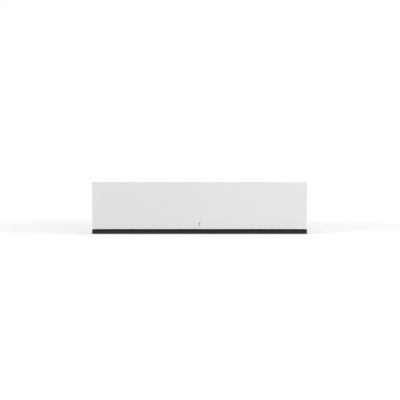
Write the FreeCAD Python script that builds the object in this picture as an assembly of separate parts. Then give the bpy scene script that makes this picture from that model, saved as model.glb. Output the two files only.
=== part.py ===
import FreeCAD, Part
import math
import os

# Built-in vacuum sealing drawer. Millimetres, X to the right, the front faces -Y, Z up.
# The origin is the bottom centre of the whole drawer, closed, on its shelf.

V = FreeCAD.Vector
X_AXIS = V(1, 0, 0)
Y_AXIS = V(0, 1, 0)
Z_AXIS = V(0, 0, 1)

# Front panel
overall_depth = 560.0
front_width = 596.0
glass_height = 131.0
glass_thickness = 6.0
glass_bottom = 14.3
glass_bevel = 0.6
glass_corner = 1.5
tape_thickness = 1.0
tape_width = 14.0
tape_inset = 3.0
carrier_depth = 13.0
carrier_sheet = 1.2
carrier_inset = 1.5
bracket_width = 40.0
bracket_height = 70.0
bracket_sheet = 2.0
bracket_place = 180.0
press_travel = 3.0
press_gap = 4.0

# Ventilation strip under the front
strip_recess = 12.0
strip_gap = 1.5
strip_sheet = 1.5
strip_foot = 30.0
strip_foot_inset = 24.0
strip_slot_pitch = 24.0
strip_slot_length = 14.0
strip_slot_width = 4.0

# Casing
casing_width = 556.0
casing_height = 141.0
casing_sheet = 1.2
casing_flange = 15.0
casing_foot = 18.0
glide_height = 2.0
glide_radius = 12.0
glide_inset = 40.0
rail_depth = 20.0
rail_lip = 5.8
tab_height = 20.0
tab_width = 14.0
rear_gap = 30.0
screw_hole_radius = 2.25
screw_hole_inset = 5.0
screw_hole_spacing = 90.0
buffer_radius = 5.0
buffer_clearance = 0.3
vent_slot_width = 4.0
vent_slot_length = 60.0
vent_slot_pitch = 10.0

# Drawer runners
runner_end_gap = 39.8
runner_height = 45.2
runner_depth = 12.7
runner_sheet = 1.2
runner_centre = 58.0
runner_setback = 3.0
runner_overlap = 10.0
outer_lip = 1.65
middle_flange = 1.8
inner_flange = 1.5
ball_radius = 2.0
ball_gap = 0.05
race_offset = 1.5
outer_lip_reach = 10.0
middle_reach = 10.2
outer_ball_line = 6.0
inner_ball_line = 8.0
cage_sheet = 0.6
cage_arm = 0.8
cage_gap = 0.5
cage_margin = 3.0
cage_window = 0.15
balls_per_row = 10

# Drawer chassis
chassis_sheet = 1.5
chassis_flange = 12.0
strip_clearance = 1.0
deck_sheet = 1.2
rivet_radius = 2.2
rivet_head_radius = 4.0
rivet_head = 0.9
foot_rivet_inset = 80.0

# Vacuum chamber
chamber_width = 350.0
workings_room = 121.8
lid_room = 30.2
chamber_front = 90.0
chamber_corner = 30.0
chamber_floor_radius = 8.0
tub_wall = 2.0
tub_gap = 3.5
rim_width = 20.0
mount_radius = 10.0
seal_width = 8.0
seal_height = 4.7
seal_inset = 7.0
seal_rounding = 2.4
cut_out_gap = 0.5

# Lid
lid_thickness = 14.0
lid_gap = 0.3
lid_overhang = 20.0
lid_margin = 10.0
lid_corner = 12.0
lid_bevel = 1.2
clamp_plate = 2.0
clamp_cover = 24.0
clamp_under = 12.0
clamp_web = 2.7
clamp_foot = 2.5
clamp_arm = 5.0
hinge_offset = 10.0
hinge_rise = 10.0
hinge_place = 150.0
pin_radius = 3.0
pin_clearance = 0.05
knuckle_radius = 7.0
knuckle_width = 30.0
ear_radius = 8.0
ear_width = 8.0
ear_gap = 0.3
hinge_base = 2.5
spring_wire = 0.9
spring_radius = 6.2
spring_pitch = 2.7
spring_turns = 10
spring_leg = 9.6
spring_start = 6.0

# Sealing bar and its lift
bar_length = 320.0
bar_width = 20.0
bar_height = 34.0
bar_inset = 14.0
bar_corner = 2.0
bar_groove = 2.5
bar_lift = 6.0
bar_lift_gap = 0.3
strip_heater_width = 4.0
strip_heater_height = 0.4
cover_width = 12.0
cover_height = 0.4
cylinder_radius = 12.0
cylinder_room = 8.0
cylinder_floor = 4.0
cylinder_foot_radius = 15.0
cylinder_foot = 3.0
piston_radius = 6.0
piston_clearance = 0.05
piston_rest_gap = 0.3
lift_place = 105.0
counter_width = 14.0
counter_depth = 10.4
counter_rounding = 2.0
holder_width = 20.0
holder_height = 6.0
holder_wall = 1.5

# Control panel
panel_depth = 46.0
panel_setback = 2.0
panel_inset = 2.0
panel_rise = 17.0
panel_glass = 4.0
panel_wall = 2.5
panel_corner = 4.0
board_width = 220.0
board_depth = 30.0
board_thickness = 1.6
board_post = 3.0
board_post_height = 2.0
touch_keys = 8
touch_key_radius = 5.0
touch_key_pitch = 24.0
display_width = 60.0
display_depth = 18.0
glass_seat_gap = 0.3

# Vacuum pump and motor
pump_length = 96.0
pump_width = 84.0
pump_clearance = 8.8
pump_mount_height = 7.5
pump_mount_radius = 8.0
pump_casing_wall = 11.0
pump_offset = 4.5
rotor_gap = 0.5
pump_end_wall = 8.0
rib_depth = 3.0
rib_width = 2.5
rib_pitch = 8.0
shaft_radius = 6.0
shaft_clearance = 0.05
motor_length = 112.0
motor_wall = 3.0
motor_drum_inset = 16.0
motor_drum_gap = 1.0
pump_right = 58.0
filter_radius = 22.0
filter_length = 72.0
nipple_radius = 5.0
nipple_bore = 3.0
nipple_length = 10.0
nipple_drop = 14.0

# Hoses and valves
hose_radius = 5.0
hose_bend = 12.0
hose_line = 31.0
port_drop = 25.8
port_place = 84.0
port_plate_radius = 16.0
port_plate = 2.5
port_bore = 4.0
port_reach = 14.0
valve_block_width = 38.0
valve_block_length = 70.0
valve_block_height = 34.0
valve_block_inset = 13.0
coil_size = 28.0
coil_height = 30.0
coil_gap = 6.0
plunger_radius = 4.0
plunger_clearance = 0.05
plunger_length = 18.0
plunger_travel = 2.0
plunger_stem_radius = 1.5
valve_cap = 3.0

# Transformer, boards and fan
transformer_width = 66.0
transformer_stack = 34.0
transformer_height = 56.0
transformer_limb = 11.0
transformer_foot = 2.0
winding_depth = 58.0
transformer_place = 194.0
power_board_width = 60.0
power_board_length = 150.0
power_board_rise = 6.0
power_board_inset = 10.0
fan_room = 12.3
fan_depth = 25.0
fan_rim = 2.5
fan_hub = 14.0
fan_hub_depth = 6.0
fan_shaft = 2.0
fan_tip_gap = 1.2
fan_blades = 7
fan_blade_sheet = 1.4
fan_place = -200.0
fan_clearance = 0.05
strut_width = 5.0

# Mains connection, lead and latch
gland_projection = 12.0
gland_bore = 4.0
gland_radius = 8.0
gland_nut = 11.0
gland_nut_depth = 5.0
terminal_width = 62.0
terminal_height = 54.0
terminal_depth = 20.0
terminal_wall = 2.0
terminal_place = 231.0
lead_radius = 7.0
lead_wire = 3.0
lead_pitch = 7.2
lead_turns = 26
lead_lie = 0.5
lead_tail = 8.0
lead_rise_step = 9.0
clamp_block = 16.0
clamp_block_depth = 12.0
clamp_block_height = 24.0
latch_width = 44.0
latch_height = 42.0
striker_radius = 4.0
striker_clearance = 1.0
striker_reach = 17.2
striker_flange = 10.0
striker_plate = 2.0

# Places that several pieces share, from front to back
face_y = -overall_depth / 2
glass_back_y = face_y + glass_thickness
tape_back_y = glass_back_y + tape_thickness
carrier_back_y = tape_back_y + carrier_depth
casing_front_y = carrier_back_y + press_gap
casing_back_y = overall_depth / 2 - gland_projection
casing_inside_y = casing_back_y - casing_sheet
drawer_back_y = casing_inside_y - rear_gap
chamber_front_y = carrier_back_y + chamber_front
chamber_back_y = drawer_back_y - workings_room
rim_front_y = chamber_front_y - rim_width
rim_back_y = chamber_back_y + rim_width
lid_front_y = rim_front_y - lid_margin
lid_back_y = rim_back_y + lid_margin
runner_front_y = casing_front_y + runner_setback
runner_length = drawer_back_y - runner_end_gap - runner_front_y
drawer_travel = runner_length - runner_overlap

# Heights that several pieces share
base_top = glide_height + casing_sheet
glass_top = glass_bottom + glass_height
strip_top = glass_bottom - strip_gap
drawer_bottom = strip_top + strip_clearance
floor_top = drawer_bottom + chassis_sheet
tub_bottom = floor_top + tub_gap
chamber_floor = tub_bottom + tub_wall
rim_top = casing_height - lid_room
deck_top = rim_top - tub_wall
deck_bottom = deck_top - deck_sheet
seal_top = rim_top + seal_height
lid_bottom = seal_top + lid_gap
lid_top = lid_bottom + lid_thickness
counter_bottom = lid_bottom - counter_depth - holder_wall
bar_cover_top = counter_bottom - bar_lift_gap - bar_lift
bar_top = bar_cover_top - cover_height - strip_heater_height
bar_bottom = bar_top - bar_height
cylinder_height = bar_bottom - cylinder_room - chamber_floor
hinge_z = deck_top + hinge_rise
hinge_y = lid_back_y + ear_gap + clamp_web + hinge_offset
panel_bottom = deck_top
panel_glass_bottom = panel_bottom + panel_rise
panel_front_y = carrier_back_y + panel_setback

# Half widths
casing_half = casing_width / 2
casing_inside = casing_half - casing_sheet
chassis_half = casing_inside - runner_depth
chassis_inside = chassis_half - chassis_sheet
tub_half = chamber_width / 2 + tub_wall
rim_half = chamber_width / 2 + rim_width
lid_half = chamber_width / 2 + rim_width + lid_overhang
bar_y = chamber_front_y + bar_inset + bar_width / 2


def box(x0, x1, y0, y1, z0, z1):
    """A block between two corners."""
    return Part.makeBox(x1 - x0, y1 - y0, z1 - z0, V(x0, y0, z0))


def rod(start, axis, radius, length):
    """A round bar from a point along an axis."""
    return Part.makeCylinder(radius, length, start, axis)


def fuse(shapes):
    """One solid from pieces that touch or overlap."""
    return shapes[0].fuse(shapes[1:]).removeSplitter()


def cut(shape, tools):
    """A shape with every tool taken out of it."""
    return shape.cut(Part.makeCompound(tools)) if tools else shape


def mirrored(shape):
    """The same shape on the other side of the middle plane."""
    return shape.mirror(V(0, 0, 0), X_AXIS)


def both_sides(shape):
    """A right-hand piece and its left-hand mirror image."""
    return [mirrored(shape), shape]


def edges_along(shape, axis):
    """The straight edges that run along an axis."""
    found = []
    for edge in shape.Edges:
        if isinstance(edge.Curve, Part.Line) and abs(edge.Curve.Direction.dot(axis)) > 0.999:
            found.append(edge)
    return found


def edges_at(shape, axis, place):
    """The edges that lie whole in the plane at a place along an axis."""
    found = []
    for edge in shape.Edges:
        ends = [vertex.Point.dot(axis) for vertex in edge.Vertexes]
        middle = edge.valueAt((edge.FirstParameter + edge.LastParameter) / 2).dot(axis)
        if all(abs(value - place) < 1e-4 for value in ends + [middle]):
            found.append(edge)
    return found


def rounded_box(x0, x1, y0, y1, z0, z1, radius, axis=Z_AXIS):
    """A block whose four edges along an axis are rounded."""
    block = box(x0, x1, y0, y1, z0, z1)
    return block.makeFillet(radius, edges_along(block, axis))


def save(name, shapes):
    """Writes one sub-part, which may be several separate solids."""
    solids = shapes if isinstance(shapes, list) else [shapes]
    whole = solids[0] if len(solids) == 1 else Part.makeCompound(solids)
    assert whole.isValid(), name
    assert len(whole.Solids) == len(solids), name + " is not " + str(len(solids)) + " solids"
    whole.exportStep("parts/" + name + ".step")


def arc_between(start, tangent, end):
    """The arc that leaves start along tangent and reaches end."""
    chord = end - start
    along = tangent.dot(chord) / chord.dot(chord)
    side = tangent - chord * along
    if side.Length < 1e-7:
        return Part.LineSegment(start, end).toShape()
    side.normalize()
    turn = math.acos(max(-1.0, min(1.0, tangent.dot(chord) / chord.Length)))
    middle = start + chord * 0.5 + side * (chord.Length / 2 * math.tan(turn / 2))
    return Part.Arc(start, middle, end).toShape()


def biarc(start, start_tangent, end, end_tangent):
    """Two tangent arcs between two points with given directions."""
    chord = end - start
    both = start_tangent + end_tangent
    bend = 2 * (1 - start_tangent.dot(end_tangent))
    if bend < 1e-9:
        reach = chord.dot(chord) / (2 * chord.dot(both))
    else:
        root = math.sqrt(chord.dot(both) ** 2 + bend * chord.dot(chord))
        reach = (root - chord.dot(both)) / bend
    near = start + start_tangent * reach
    far = end - end_tangent * reach
    middle = (near + far) * 0.5
    middle_tangent = (far - near).normalize()
    return [arc_between(start, start_tangent, middle), arc_between(middle, middle_tangent, end)]


def coil_stations(radius, pitch, turns, tail, rise):
    """Points and directions of a coil along local +Y, with a straight tail at each end."""
    steps = int(turns * 4)
    slope = pitch / (2 * math.pi * radius)
    stations = []
    for step in range(steps + 1):
        angle = math.pi * 2 * step / 4
        point = V(radius * math.cos(angle), pitch * step / 4, radius * math.sin(angle))
        heading = V(-math.sin(angle), slope, math.cos(angle)).normalize()
        stations.append((point, heading))
    first = V(0, -rise, -radius)
    last_angle = math.pi * 2 * (steps + 1) / 4
    last_y = pitch * steps / 4 + rise
    last = V(radius * math.cos(last_angle), last_y, radius * math.sin(last_angle))
    stations.insert(0, (first, Y_AXIS))
    stations.insert(0, (first - Y_AXIS * tail, Y_AXIS))
    stations.append((last, Y_AXIS))
    stations.append((last + Y_AXIS * tail, Y_AXIS))
    return stations


def tube_through(stations, wire):
    """A round wire swept along biarcs through stations of points and directions."""
    edges = []
    for (start, heading), (end, end_heading) in zip(stations, stations[1:]):
        edges += biarc(start, heading, end, end_heading)
    path = Part.Wire(edges)
    ring = Part.Wire([Part.Circle(stations[0][0], stations[0][1], wire).toShape()])
    return path, path.makePipeShell([ring], True, False)


def least_gap(path, wire):
    """The smallest clear space between parts of a wound wire that aren't neighbours."""
    step = wire / 2
    points = path.discretize(Distance=step)
    skip = int(4 * wire / step)
    least = 1e9
    for i, point in enumerate(points):
        for other in points[i + skip:i + skip + 160]:
            least = min(least, point.distanceToPoint(other))
    return least - 2 * wire


def rounded_path(points, radius):
    """Straight runs joined by tangent arcs of one radius."""
    edges = []
    start = points[0]
    for before, corner, after in zip(points, points[1:], points[2:]):
        way_in = (corner - before).normalize()
        way_out = (after - corner).normalize()
        turn = way_in.getAngle(way_out)
        back = radius * math.tan(turn / 2)
        first = corner - way_in * back
        last = corner + way_out * back
        edges.append(Part.LineSegment(start, first).toShape())
        edges.append(arc_between(first, way_in, last))
        start = last
    edges.append(Part.LineSegment(start, points[-1]).toShape())
    return Part.Wire(edges)


def hose(points, bend):
    """A round hose along a route with rounded corners."""
    path = rounded_path(points, bend)
    heading = (points[1] - points[0]).normalize()
    ring = Part.Wire([Part.Circle(points[0], heading, hose_radius).toShape()])
    return path.makePipeShell([ring], True, False)


def rivet(point, axis, depth):
    """A rivet with its head standing on a face and its shank going down into it."""
    head = rod(point, axis, rivet_head_radius, rivet_head)
    head = head.makeFillet(rivet_head * 0.6, edges_at(head, axis, (point + axis * rivet_head).dot(axis)))
    shank = rod(point - axis * depth, axis, rivet_radius, depth)
    return fuse([head, shank])


def rivet_hole(point, axis, depth):
    """The hole that a rivet's shank fills."""
    return rod(point - axis * depth, axis, rivet_radius, depth)


# Where the rivets go: point under the head, outward direction, depth of metal
runner_rivet_ys = [runner_front_y + runner_length * share for share in (0.1, 0.5, 0.9)]
tab_rivet_z = casing_height - casing_sheet - tab_height / 2
front_tab_y = casing_front_y + casing_sheet + tab_width / 2
back_tab_y = casing_inside_y - tab_width / 2
back_rivet_zs = (base_top + 2 * tab_height, casing_height - 2.5 * tab_height)
foot_rivet_ys = [casing_front_y + foot_rivet_inset, 0.0, casing_back_y - foot_rivet_inset]


def casing_rivet_places():
    places = []
    for side in (-1, 1):
        outward = X_AXIS * side
        for y in runner_rivet_ys:
            point = V(side * casing_half, y, runner_centre)
            places.append((point, outward, casing_sheet + runner_sheet))
        for y in (front_tab_y, back_tab_y):
            places.append((V(side * casing_half, y, tab_rivet_z), outward, 2 * casing_sheet))
        for z in back_rivet_zs:
            places.append((V(side * casing_half, back_tab_y, z), outward, 2 * casing_sheet))
        for y in foot_rivet_ys:
            point = V(side * (casing_half - casing_foot / 2 - casing_sheet), y, glide_height)
            places.append((point, -Z_AXIS, 2 * casing_sheet))
    return places


def drawer_rivet_places():
    places = []
    for side in (-1, 1):
        for y in runner_rivet_ys:
            point = V(side * chassis_inside, y, runner_centre)
            places.append((point, X_AXIS * -side, chassis_sheet + runner_sheet))
        x = side * (chassis_half - chassis_flange / 2 - chassis_sheet / 2)
        for y in deck_rivet_ys:
            places.append((V(x, y, deck_top), Z_AXIS, deck_sheet + chassis_sheet))
        for y in foot_rivet_ys:
            places.append((V(x, y, floor_top + chassis_sheet), Z_AXIS, 2 * chassis_sheet))
        for z in bracket_rivet_zs:
            point = V(side * bracket_place, carrier_back_y + chassis_sheet, z)
            places.append((point, Y_AXIS, chassis_sheet + bracket_sheet))
    return places


bracket_bottom = glass_bottom + (glass_height - bracket_height) / 2 - bracket_width / 2
bracket_rivet_zs = (bracket_bottom + bracket_width / 2, bracket_bottom + bracket_height - bracket_width / 2)
deck_rivet_run = drawer_back_y - lid_front_y
deck_rivet_ys = [lid_front_y + deck_rivet_run * share for share in (0.03, 0.27, 0.5, 0.73, 0.96)]
casing_holes = [rivet_hole(*place) for place in casing_rivet_places()]
drawer_holes = [rivet_hole(*place) for place in drawer_rivet_places()]


# Casing

screw_hole_x = casing_half + casing_flange - screw_hole_inset
flange_middle_z = (base_top + casing_height) / 2
buffer_x = casing_half + casing_flange / 2 + 1
buffer_zs = (flange_middle_z - screw_hole_spacing / 4, flange_middle_z + screw_hole_spacing / 4)
buffer_stem = 2.0
buffer_tail = 3.2


def slot_row(x_middle, count, pitch, y0, y1, z0, z1, width):
    """Upright cutters side by side along X."""
    slots = []
    for i in range(count):
        x = x_middle + pitch * (i - (count - 1) / 2)
        slots.append(box(x - width / 2, x + width / 2, y0, y1, z0, z1))
    return slots


def casing_base():
    plate = box(-casing_half, casing_half, casing_front_y, casing_back_y, glide_height, base_top)
    back = drawer_back_y - vent_slot_length
    slots = slot_row(0, 20, vent_slot_pitch, back, drawer_back_y, glide_height, base_top, vent_slot_width)
    return cut(plate, slots + casing_holes)


def casing_side():
    wall = box(casing_inside, casing_half, casing_front_y, casing_back_y, base_top, casing_height)
    foot_top = base_top + casing_sheet
    foot = box(casing_half - casing_foot, casing_inside, casing_front_y, casing_inside_y, base_top, foot_top)
    flange = box(casing_half, casing_half + casing_flange, casing_front_y, casing_front_y + casing_sheet,
                 base_top, casing_height)
    holes = []
    for z in (flange_middle_z - screw_hole_spacing / 2, flange_middle_z + screw_hole_spacing / 2):
        holes.append(rod(V(screw_hole_x, casing_front_y, z), Y_AXIS, screw_hole_radius, casing_sheet))
    for z in buffer_zs:
        holes.append(rod(V(buffer_x, casing_front_y, z), Y_AXIS, buffer_stem, casing_sheet))
    return cut(fuse([wall, foot, flange]), holes)


def casing_back():
    wall = box(-casing_inside, casing_inside, casing_inside_y, casing_back_y, base_top, casing_height)
    tabs = []
    for side in (-1, 1):
        x0, x1 = sorted((side * casing_inside, side * (casing_inside - casing_sheet)))
        tabs.append(box(x0, x1, casing_inside_y - tab_width, casing_inside_y,
                        base_top + tab_height, casing_height - 1.5 * tab_height))
    low = fan_z - vent_slot_length / 2
    slots = slot_row(fan_place, 9, vent_slot_pitch, casing_inside_y, casing_back_y,
                     low, low + vent_slot_length, vent_slot_width)
    slots += slot_row(fan_place / 4, 9, vent_slot_pitch, casing_inside_y, casing_back_y,
                      low, low + vent_slot_length, vent_slot_width)
    gland_hole = rod(V(terminal_place, casing_inside_y, gland_z), Y_AXIS, gland_radius, casing_sheet)
    return cut(fuse([wall] + tabs), slots + [gland_hole] + casing_holes)


def casing_rail(y0, y1, lip_y, tab_y):
    """A bar across the open top, folded down at one edge, with a tab at each end."""
    under = casing_height - casing_sheet
    pieces = [box(-casing_inside, casing_inside, y0, y1, under, casing_height)]
    pieces.append(box(-casing_inside, casing_inside, lip_y, lip_y + casing_sheet, under - rail_lip, under))
    for side in (-1, 1):
        x0, x1 = sorted((side * casing_inside, side * (casing_inside - casing_sheet)))
        pieces.append(box(x0, x1, tab_y - tab_width / 2, tab_y + tab_width / 2, under - tab_height, under))
    return cut(fuse(pieces), casing_holes)


def vent_strip():
    front_y = face_y + strip_recess
    inside_y = front_y + strip_sheet
    half = front_width / 2
    wall = box(-half, half, front_y, inside_y, 0, strip_top)
    top = box(-half, half, inside_y, casing_front_y - strip_sheet, strip_top - strip_sheet, strip_top)
    foot_half = casing_half - strip_foot_inset
    foot = box(-foot_half, foot_half, inside_y, inside_y + strip_foot,
               glide_height - strip_sheet, glide_height)
    ends = both_sides(box(half - strip_sheet, half, inside_y, casing_front_y, 0, strip_top))
    count = int((front_width - 4 * strip_slot_pitch) / strip_slot_pitch)
    middle = (inside_y + casing_front_y - strip_sheet) / 2
    slots = slot_row(0, count, strip_slot_pitch, middle - strip_slot_width / 2, middle + strip_slot_width / 2,
                     strip_top - strip_sheet, strip_top, strip_slot_length)
    return cut(fuse([wall, top, foot] + ends), slots)


def glides():
    feet = []
    front = casing_front_y + glide_inset
    back = casing_back_y - glide_inset
    for side in (-1, 1):
        for y in (front, (front + back) / 2, back):
            feet.append(rod(V(side * (casing_half - glide_inset), y, 0), Z_AXIS, glide_radius, glide_height))
    return feet


def front_buffers():
    """Rubber buttons pushed through the front flanges, which stop the pressed front."""
    reach = press_gap - press_travel - buffer_clearance
    buffers = []
    for z in buffer_zs:
        head = rod(V(buffer_x, casing_front_y - reach, z), Y_AXIS, buffer_radius, reach)
        stem = rod(V(buffer_x, casing_front_y, z), Y_AXIS, buffer_stem, casing_sheet)
        tail = rod(V(buffer_x, casing_front_y + casing_sheet, z), Y_AXIS, buffer_tail, casing_sheet)
        buffers += both_sides(fuse([head, stem, tail]))
    return buffers


# Runners, drawn on the right: u is the distance from the casing's wall

outer_ball_z = runner_height / 2 - outer_lip - race_offset
middle_top = outer_ball_z - race_offset
inner_ball_z = middle_top - middle_flange - race_offset
inner_top = inner_ball_z - race_offset
cage_web_outer = runner_sheet + cage_gap
middle_web = cage_web_outer + cage_sheet + cage_gap
cage_web_inner = middle_web + runner_sheet + cage_gap
inner_tip = cage_web_inner + cage_sheet + cage_gap
cage_front_y = runner_front_y + drawer_travel / 4 + cage_margin
cage_length = runner_length - drawer_travel / 2 - 2 * cage_margin


def runner_box(u0, u1, z0, z1, y0=runner_front_y, length=runner_length):
    return box(casing_inside - u1, casing_inside - u0, y0, y0 + length,
               runner_centre + z0, runner_centre + z1)


def up_and_down(u0, u1, z0, z1, **along):
    """The same block above and below the runner's middle."""
    return [runner_box(u0, u1, z0, z1, **along), runner_box(u0, u1, -z1, -z0, **along)]


def ball_races(line, z):
    races = []
    for level in (z, -z):
        start = V(casing_inside - line, runner_front_y, runner_centre + level)
        races.append(rod(start, Y_AXIS, ball_radius + ball_gap, runner_length))
    return races


def runner_outer():
    lip_inside = runner_height / 2 - outer_lip
    web = runner_box(0, runner_sheet, -runner_height / 2, runner_height / 2)
    lips = up_and_down(0, outer_lip_reach, lip_inside, runner_height / 2)
    return cut(fuse([web] + lips), ball_races(outer_ball_line, outer_ball_z) + casing_holes)


def runner_middle():
    web = runner_box(middle_web, middle_web + runner_sheet, -middle_top, middle_top)
    flanges = up_and_down(middle_web, middle_reach, middle_top - middle_flange, middle_top)
    races = ball_races(outer_ball_line, outer_ball_z) + ball_races(inner_ball_line, inner_ball_z)
    return cut(fuse([web] + flanges), races)


def runner_inner():
    web = runner_box(runner_depth - runner_sheet, runner_depth, -inner_top, inner_top)
    flanges = up_and_down(inner_tip, runner_depth, inner_top - inner_flange, inner_top)
    return cut(fuse([web] + flanges), ball_races(inner_ball_line, inner_ball_z) + drawer_holes)


def ball_cage(web_u, ball_line, ball_z):
    """A cage strip between two runner members, then its balls as separate solids."""
    along = {"y0": cage_front_y, "length": cage_length}
    half = cage_arm / 2
    tip = 2 * ball_line - web_u
    strip = [runner_box(web_u, web_u + cage_sheet, -ball_z - half, ball_z + half, **along)]
    strip += up_and_down(web_u, tip, ball_z - half, ball_z + half, **along)
    windows = []
    balls = []
    pitch = cage_length / balls_per_row
    for i in range(balls_per_row):
        for level in (ball_z, -ball_z):
            centre = V(casing_inside - ball_line, cage_front_y + pitch * (i + 0.5), runner_centre + level)
            balls.append(Part.makeSphere(ball_radius, centre))
            windows.append(rod(centre - Z_AXIS * cage_arm, Z_AXIS, ball_radius + cage_window, 2 * cage_arm))
    return [cut(fuse(strip), windows)] + balls


# Drawer chassis

fan_size = deck_bottom - fan_room - floor_top
fan_bore = fan_size / 2 - fan_rim
fan_z = floor_top + press_gap / 2 + fan_size / 2
gland_z = floor_top + terminal_height / 2
lead_outer = lead_radius + lead_wire
lead_place = chassis_half - chassis_flange - lead_outer - lead_lie
lead_z = floor_top + lead_lie + lead_outer
cover_front_y = hinge_y + ear_radius + chassis_flange / 2
cover_half = chassis_half - 2 * chassis_flange
cover_lap = 8.0


def drawer_floor():
    plate = box(-chassis_half, chassis_half, carrier_back_y, drawer_back_y, drawer_bottom, floor_top)
    slots = slot_row(0, 14, 2 * vent_slot_pitch, chamber_back_y, chamber_back_y + vent_slot_length,
                     drawer_bottom, floor_top, vent_slot_width)
    return cut(plate, slots + drawer_holes)


def drawer_side():
    wall = box(chassis_inside, chassis_half, carrier_back_y, drawer_back_y, floor_top, deck_bottom)
    y0 = carrier_back_y + chassis_sheet
    y1 = drawer_back_y - chassis_sheet
    x0 = chassis_half - chassis_flange
    top = box(x0, chassis_inside, y0, y1, deck_bottom - chassis_sheet, deck_bottom)
    foot = box(x0, chassis_inside, y0, y1, floor_top, floor_top + chassis_sheet)
    return fuse([wall, top, foot])


def drawer_front_wall():
    wall = box(-chassis_inside, chassis_inside, carrier_back_y, carrier_back_y + chassis_sheet,
               floor_top, deck_bottom)
    return cut(wall, drawer_holes)


def drawer_back():
    y0 = drawer_back_y - chassis_sheet
    wall = box(-chassis_inside, chassis_inside, y0, drawer_back_y, floor_top, deck_bottom)
    notch_half = lead_outer + 2 * lead_lie
    notch = box(lead_place - notch_half, lead_place + notch_half, y0, drawer_back_y,
                floor_top, lead_z + notch_half)
    fan_hole = rod(V(fan_place, y0, fan_z), Y_AXIS, fan_bore, chassis_sheet)
    return cut(wall, [notch, fan_hole])


def deck_frame():
    plate = box(-chassis_half, chassis_half, carrier_back_y, drawer_back_y, deck_bottom, deck_top)
    reach = tub_wall + cut_out_gap
    tub_hole = rounded_box(-chamber_width / 2 - reach, chamber_width / 2 + reach,
                           chamber_front_y - reach, chamber_back_y + reach,
                           deck_bottom, deck_top, chamber_corner + reach)
    service_hole = box(-cover_half + cover_lap, cover_half - cover_lap, cover_front_y + cover_lap,
                       drawer_back_y - 2 * cover_lap, deck_bottom, deck_top)
    return cut(plate, [tub_hole, service_hole] + drawer_holes)


def rear_cover():
    """The lift-off plate over the pump, with air slots."""
    y1 = drawer_back_y - cover_lap
    plate = rounded_box(-cover_half, cover_half, cover_front_y, y1,
                        deck_top, deck_top + deck_sheet, cover_lap)
    count = int(2 * (cover_half - 4 * cover_lap) / vent_slot_pitch)
    slots = slot_row(0, count, vent_slot_pitch, cover_front_y + 2 * cover_lap, y1 - 2 * cover_lap,
                     deck_top, deck_top + deck_sheet, vent_slot_width)
    return cut(plate, slots)


# Front panel

def front_glass():
    half = front_width / 2
    sheet = rounded_box(-half, half, face_y, glass_back_y, glass_bottom, glass_top, glass_corner, Y_AXIS)
    return sheet.makeChamfer(glass_bevel, edges_at(sheet, Y_AXIS, face_y))


def panel_frame(inset, y0, y1, width):
    """A flat frame inside the glass's outline."""
    half = front_width / 2 - inset
    outer = box(-half, half, y0, y1, glass_bottom + inset, glass_top - inset)
    inner = box(-half + width, half - width, y0, y1, glass_bottom + inset + width, glass_top - inset - width)
    return outer.cut(inner)


def front_carrier():
    """The folded steel tray behind the glass, with two hollow brackets for the drawer."""
    half = front_width / 2 - carrier_inset
    plate_back_y = tape_back_y + carrier_sheet
    plate = box(-half, half, tape_back_y, plate_back_y,
                glass_bottom + carrier_inset, glass_top - carrier_inset)
    walls = panel_frame(carrier_inset, plate_back_y, carrier_back_y, carrier_sheet)
    lips = panel_frame(carrier_inset, carrier_back_y - carrier_sheet, carrier_back_y, casing_flange)
    pieces = [plate, walls, lips]
    top = bracket_bottom + bracket_height
    for side in (-1, 1):
        x0 = side * bracket_place - bracket_width / 2
        x1 = x0 + bracket_width
        outer = box(x0, x1, plate_back_y, carrier_back_y, bracket_bottom, top)
        inner = box(x0 + bracket_sheet, x1 - bracket_sheet, plate_back_y, carrier_back_y - bracket_sheet,
                    bracket_bottom, top)
        pieces.append(outer.cut(inner))
    return cut(fuse(pieces), drawer_holes)


# Vacuum chamber and its seal

def chamber_tub():
    half = chamber_width / 2
    outer = rounded_box(-tub_half, tub_half, chamber_front_y - tub_wall, chamber_back_y + tub_wall,
                        tub_bottom, rim_top, chamber_corner + tub_wall)
    outer = outer.makeFillet(chamber_floor_radius + tub_wall, edges_at(outer, Z_AXIS, tub_bottom))
    inner = rounded_box(-half, half, chamber_front_y, chamber_back_y, chamber_floor,
                        rim_top + tub_wall, chamber_corner)
    inner = inner.makeFillet(chamber_floor_radius, edges_at(inner, Z_AXIS, chamber_floor))
    rim = rounded_box(-rim_half, rim_half, rim_front_y, rim_back_y, deck_top, rim_top,
                      chamber_corner + rim_width / 2)
    port_hole = rod(V(port_place, chamber_back_y, port_z), Y_AXIS, nipple_radius, tub_wall)
    return cut(fuse([outer, rim]), [inner, port_hole])


def ring_around_chamber(inset, width, z0, z1):
    """A rounded ring on the rim, a distance out from the chamber's edge."""
    half = chamber_width / 2
    near = inset
    far = inset + width
    inner = rounded_box(-half - near, half + near, chamber_front_y - near, chamber_back_y + near,
                        z0, z1, chamber_corner + near)
    outer = rounded_box(-half - far, half + far, chamber_front_y - far, chamber_back_y + far,
                        z0, z1, chamber_corner + far)
    return outer.cut(inner)


def chamber_seal():
    ring = ring_around_chamber(seal_inset, seal_width, rim_top, seal_top)
    return ring.makeFillet(seal_rounding, edges_at(ring, Z_AXIS, seal_top))


def suction_port():
    start = V(port_place, chamber_back_y - port_plate, port_z)
    plate = rod(start, Y_AXIS, port_plate_radius, port_plate)
    stub = rod(start, Y_AXIS, nipple_radius, port_plate + tub_wall + port_reach)
    bore = rod(start, Y_AXIS, port_bore, port_plate + tub_wall + port_reach)
    pits = []
    for i in range(10):
        angle = math.radians(36 * i)
        offset = V(math.cos(angle), 0, math.sin(angle)) * (port_plate_radius * 0.7)
        pits.append(rod(start + offset, Y_AXIS, port_bore / 2, port_plate / 2))
    return cut(fuse([plate, stub]), [bore] + pits)


# Sealing bar, its lift and the counter bar in the lid

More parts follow.
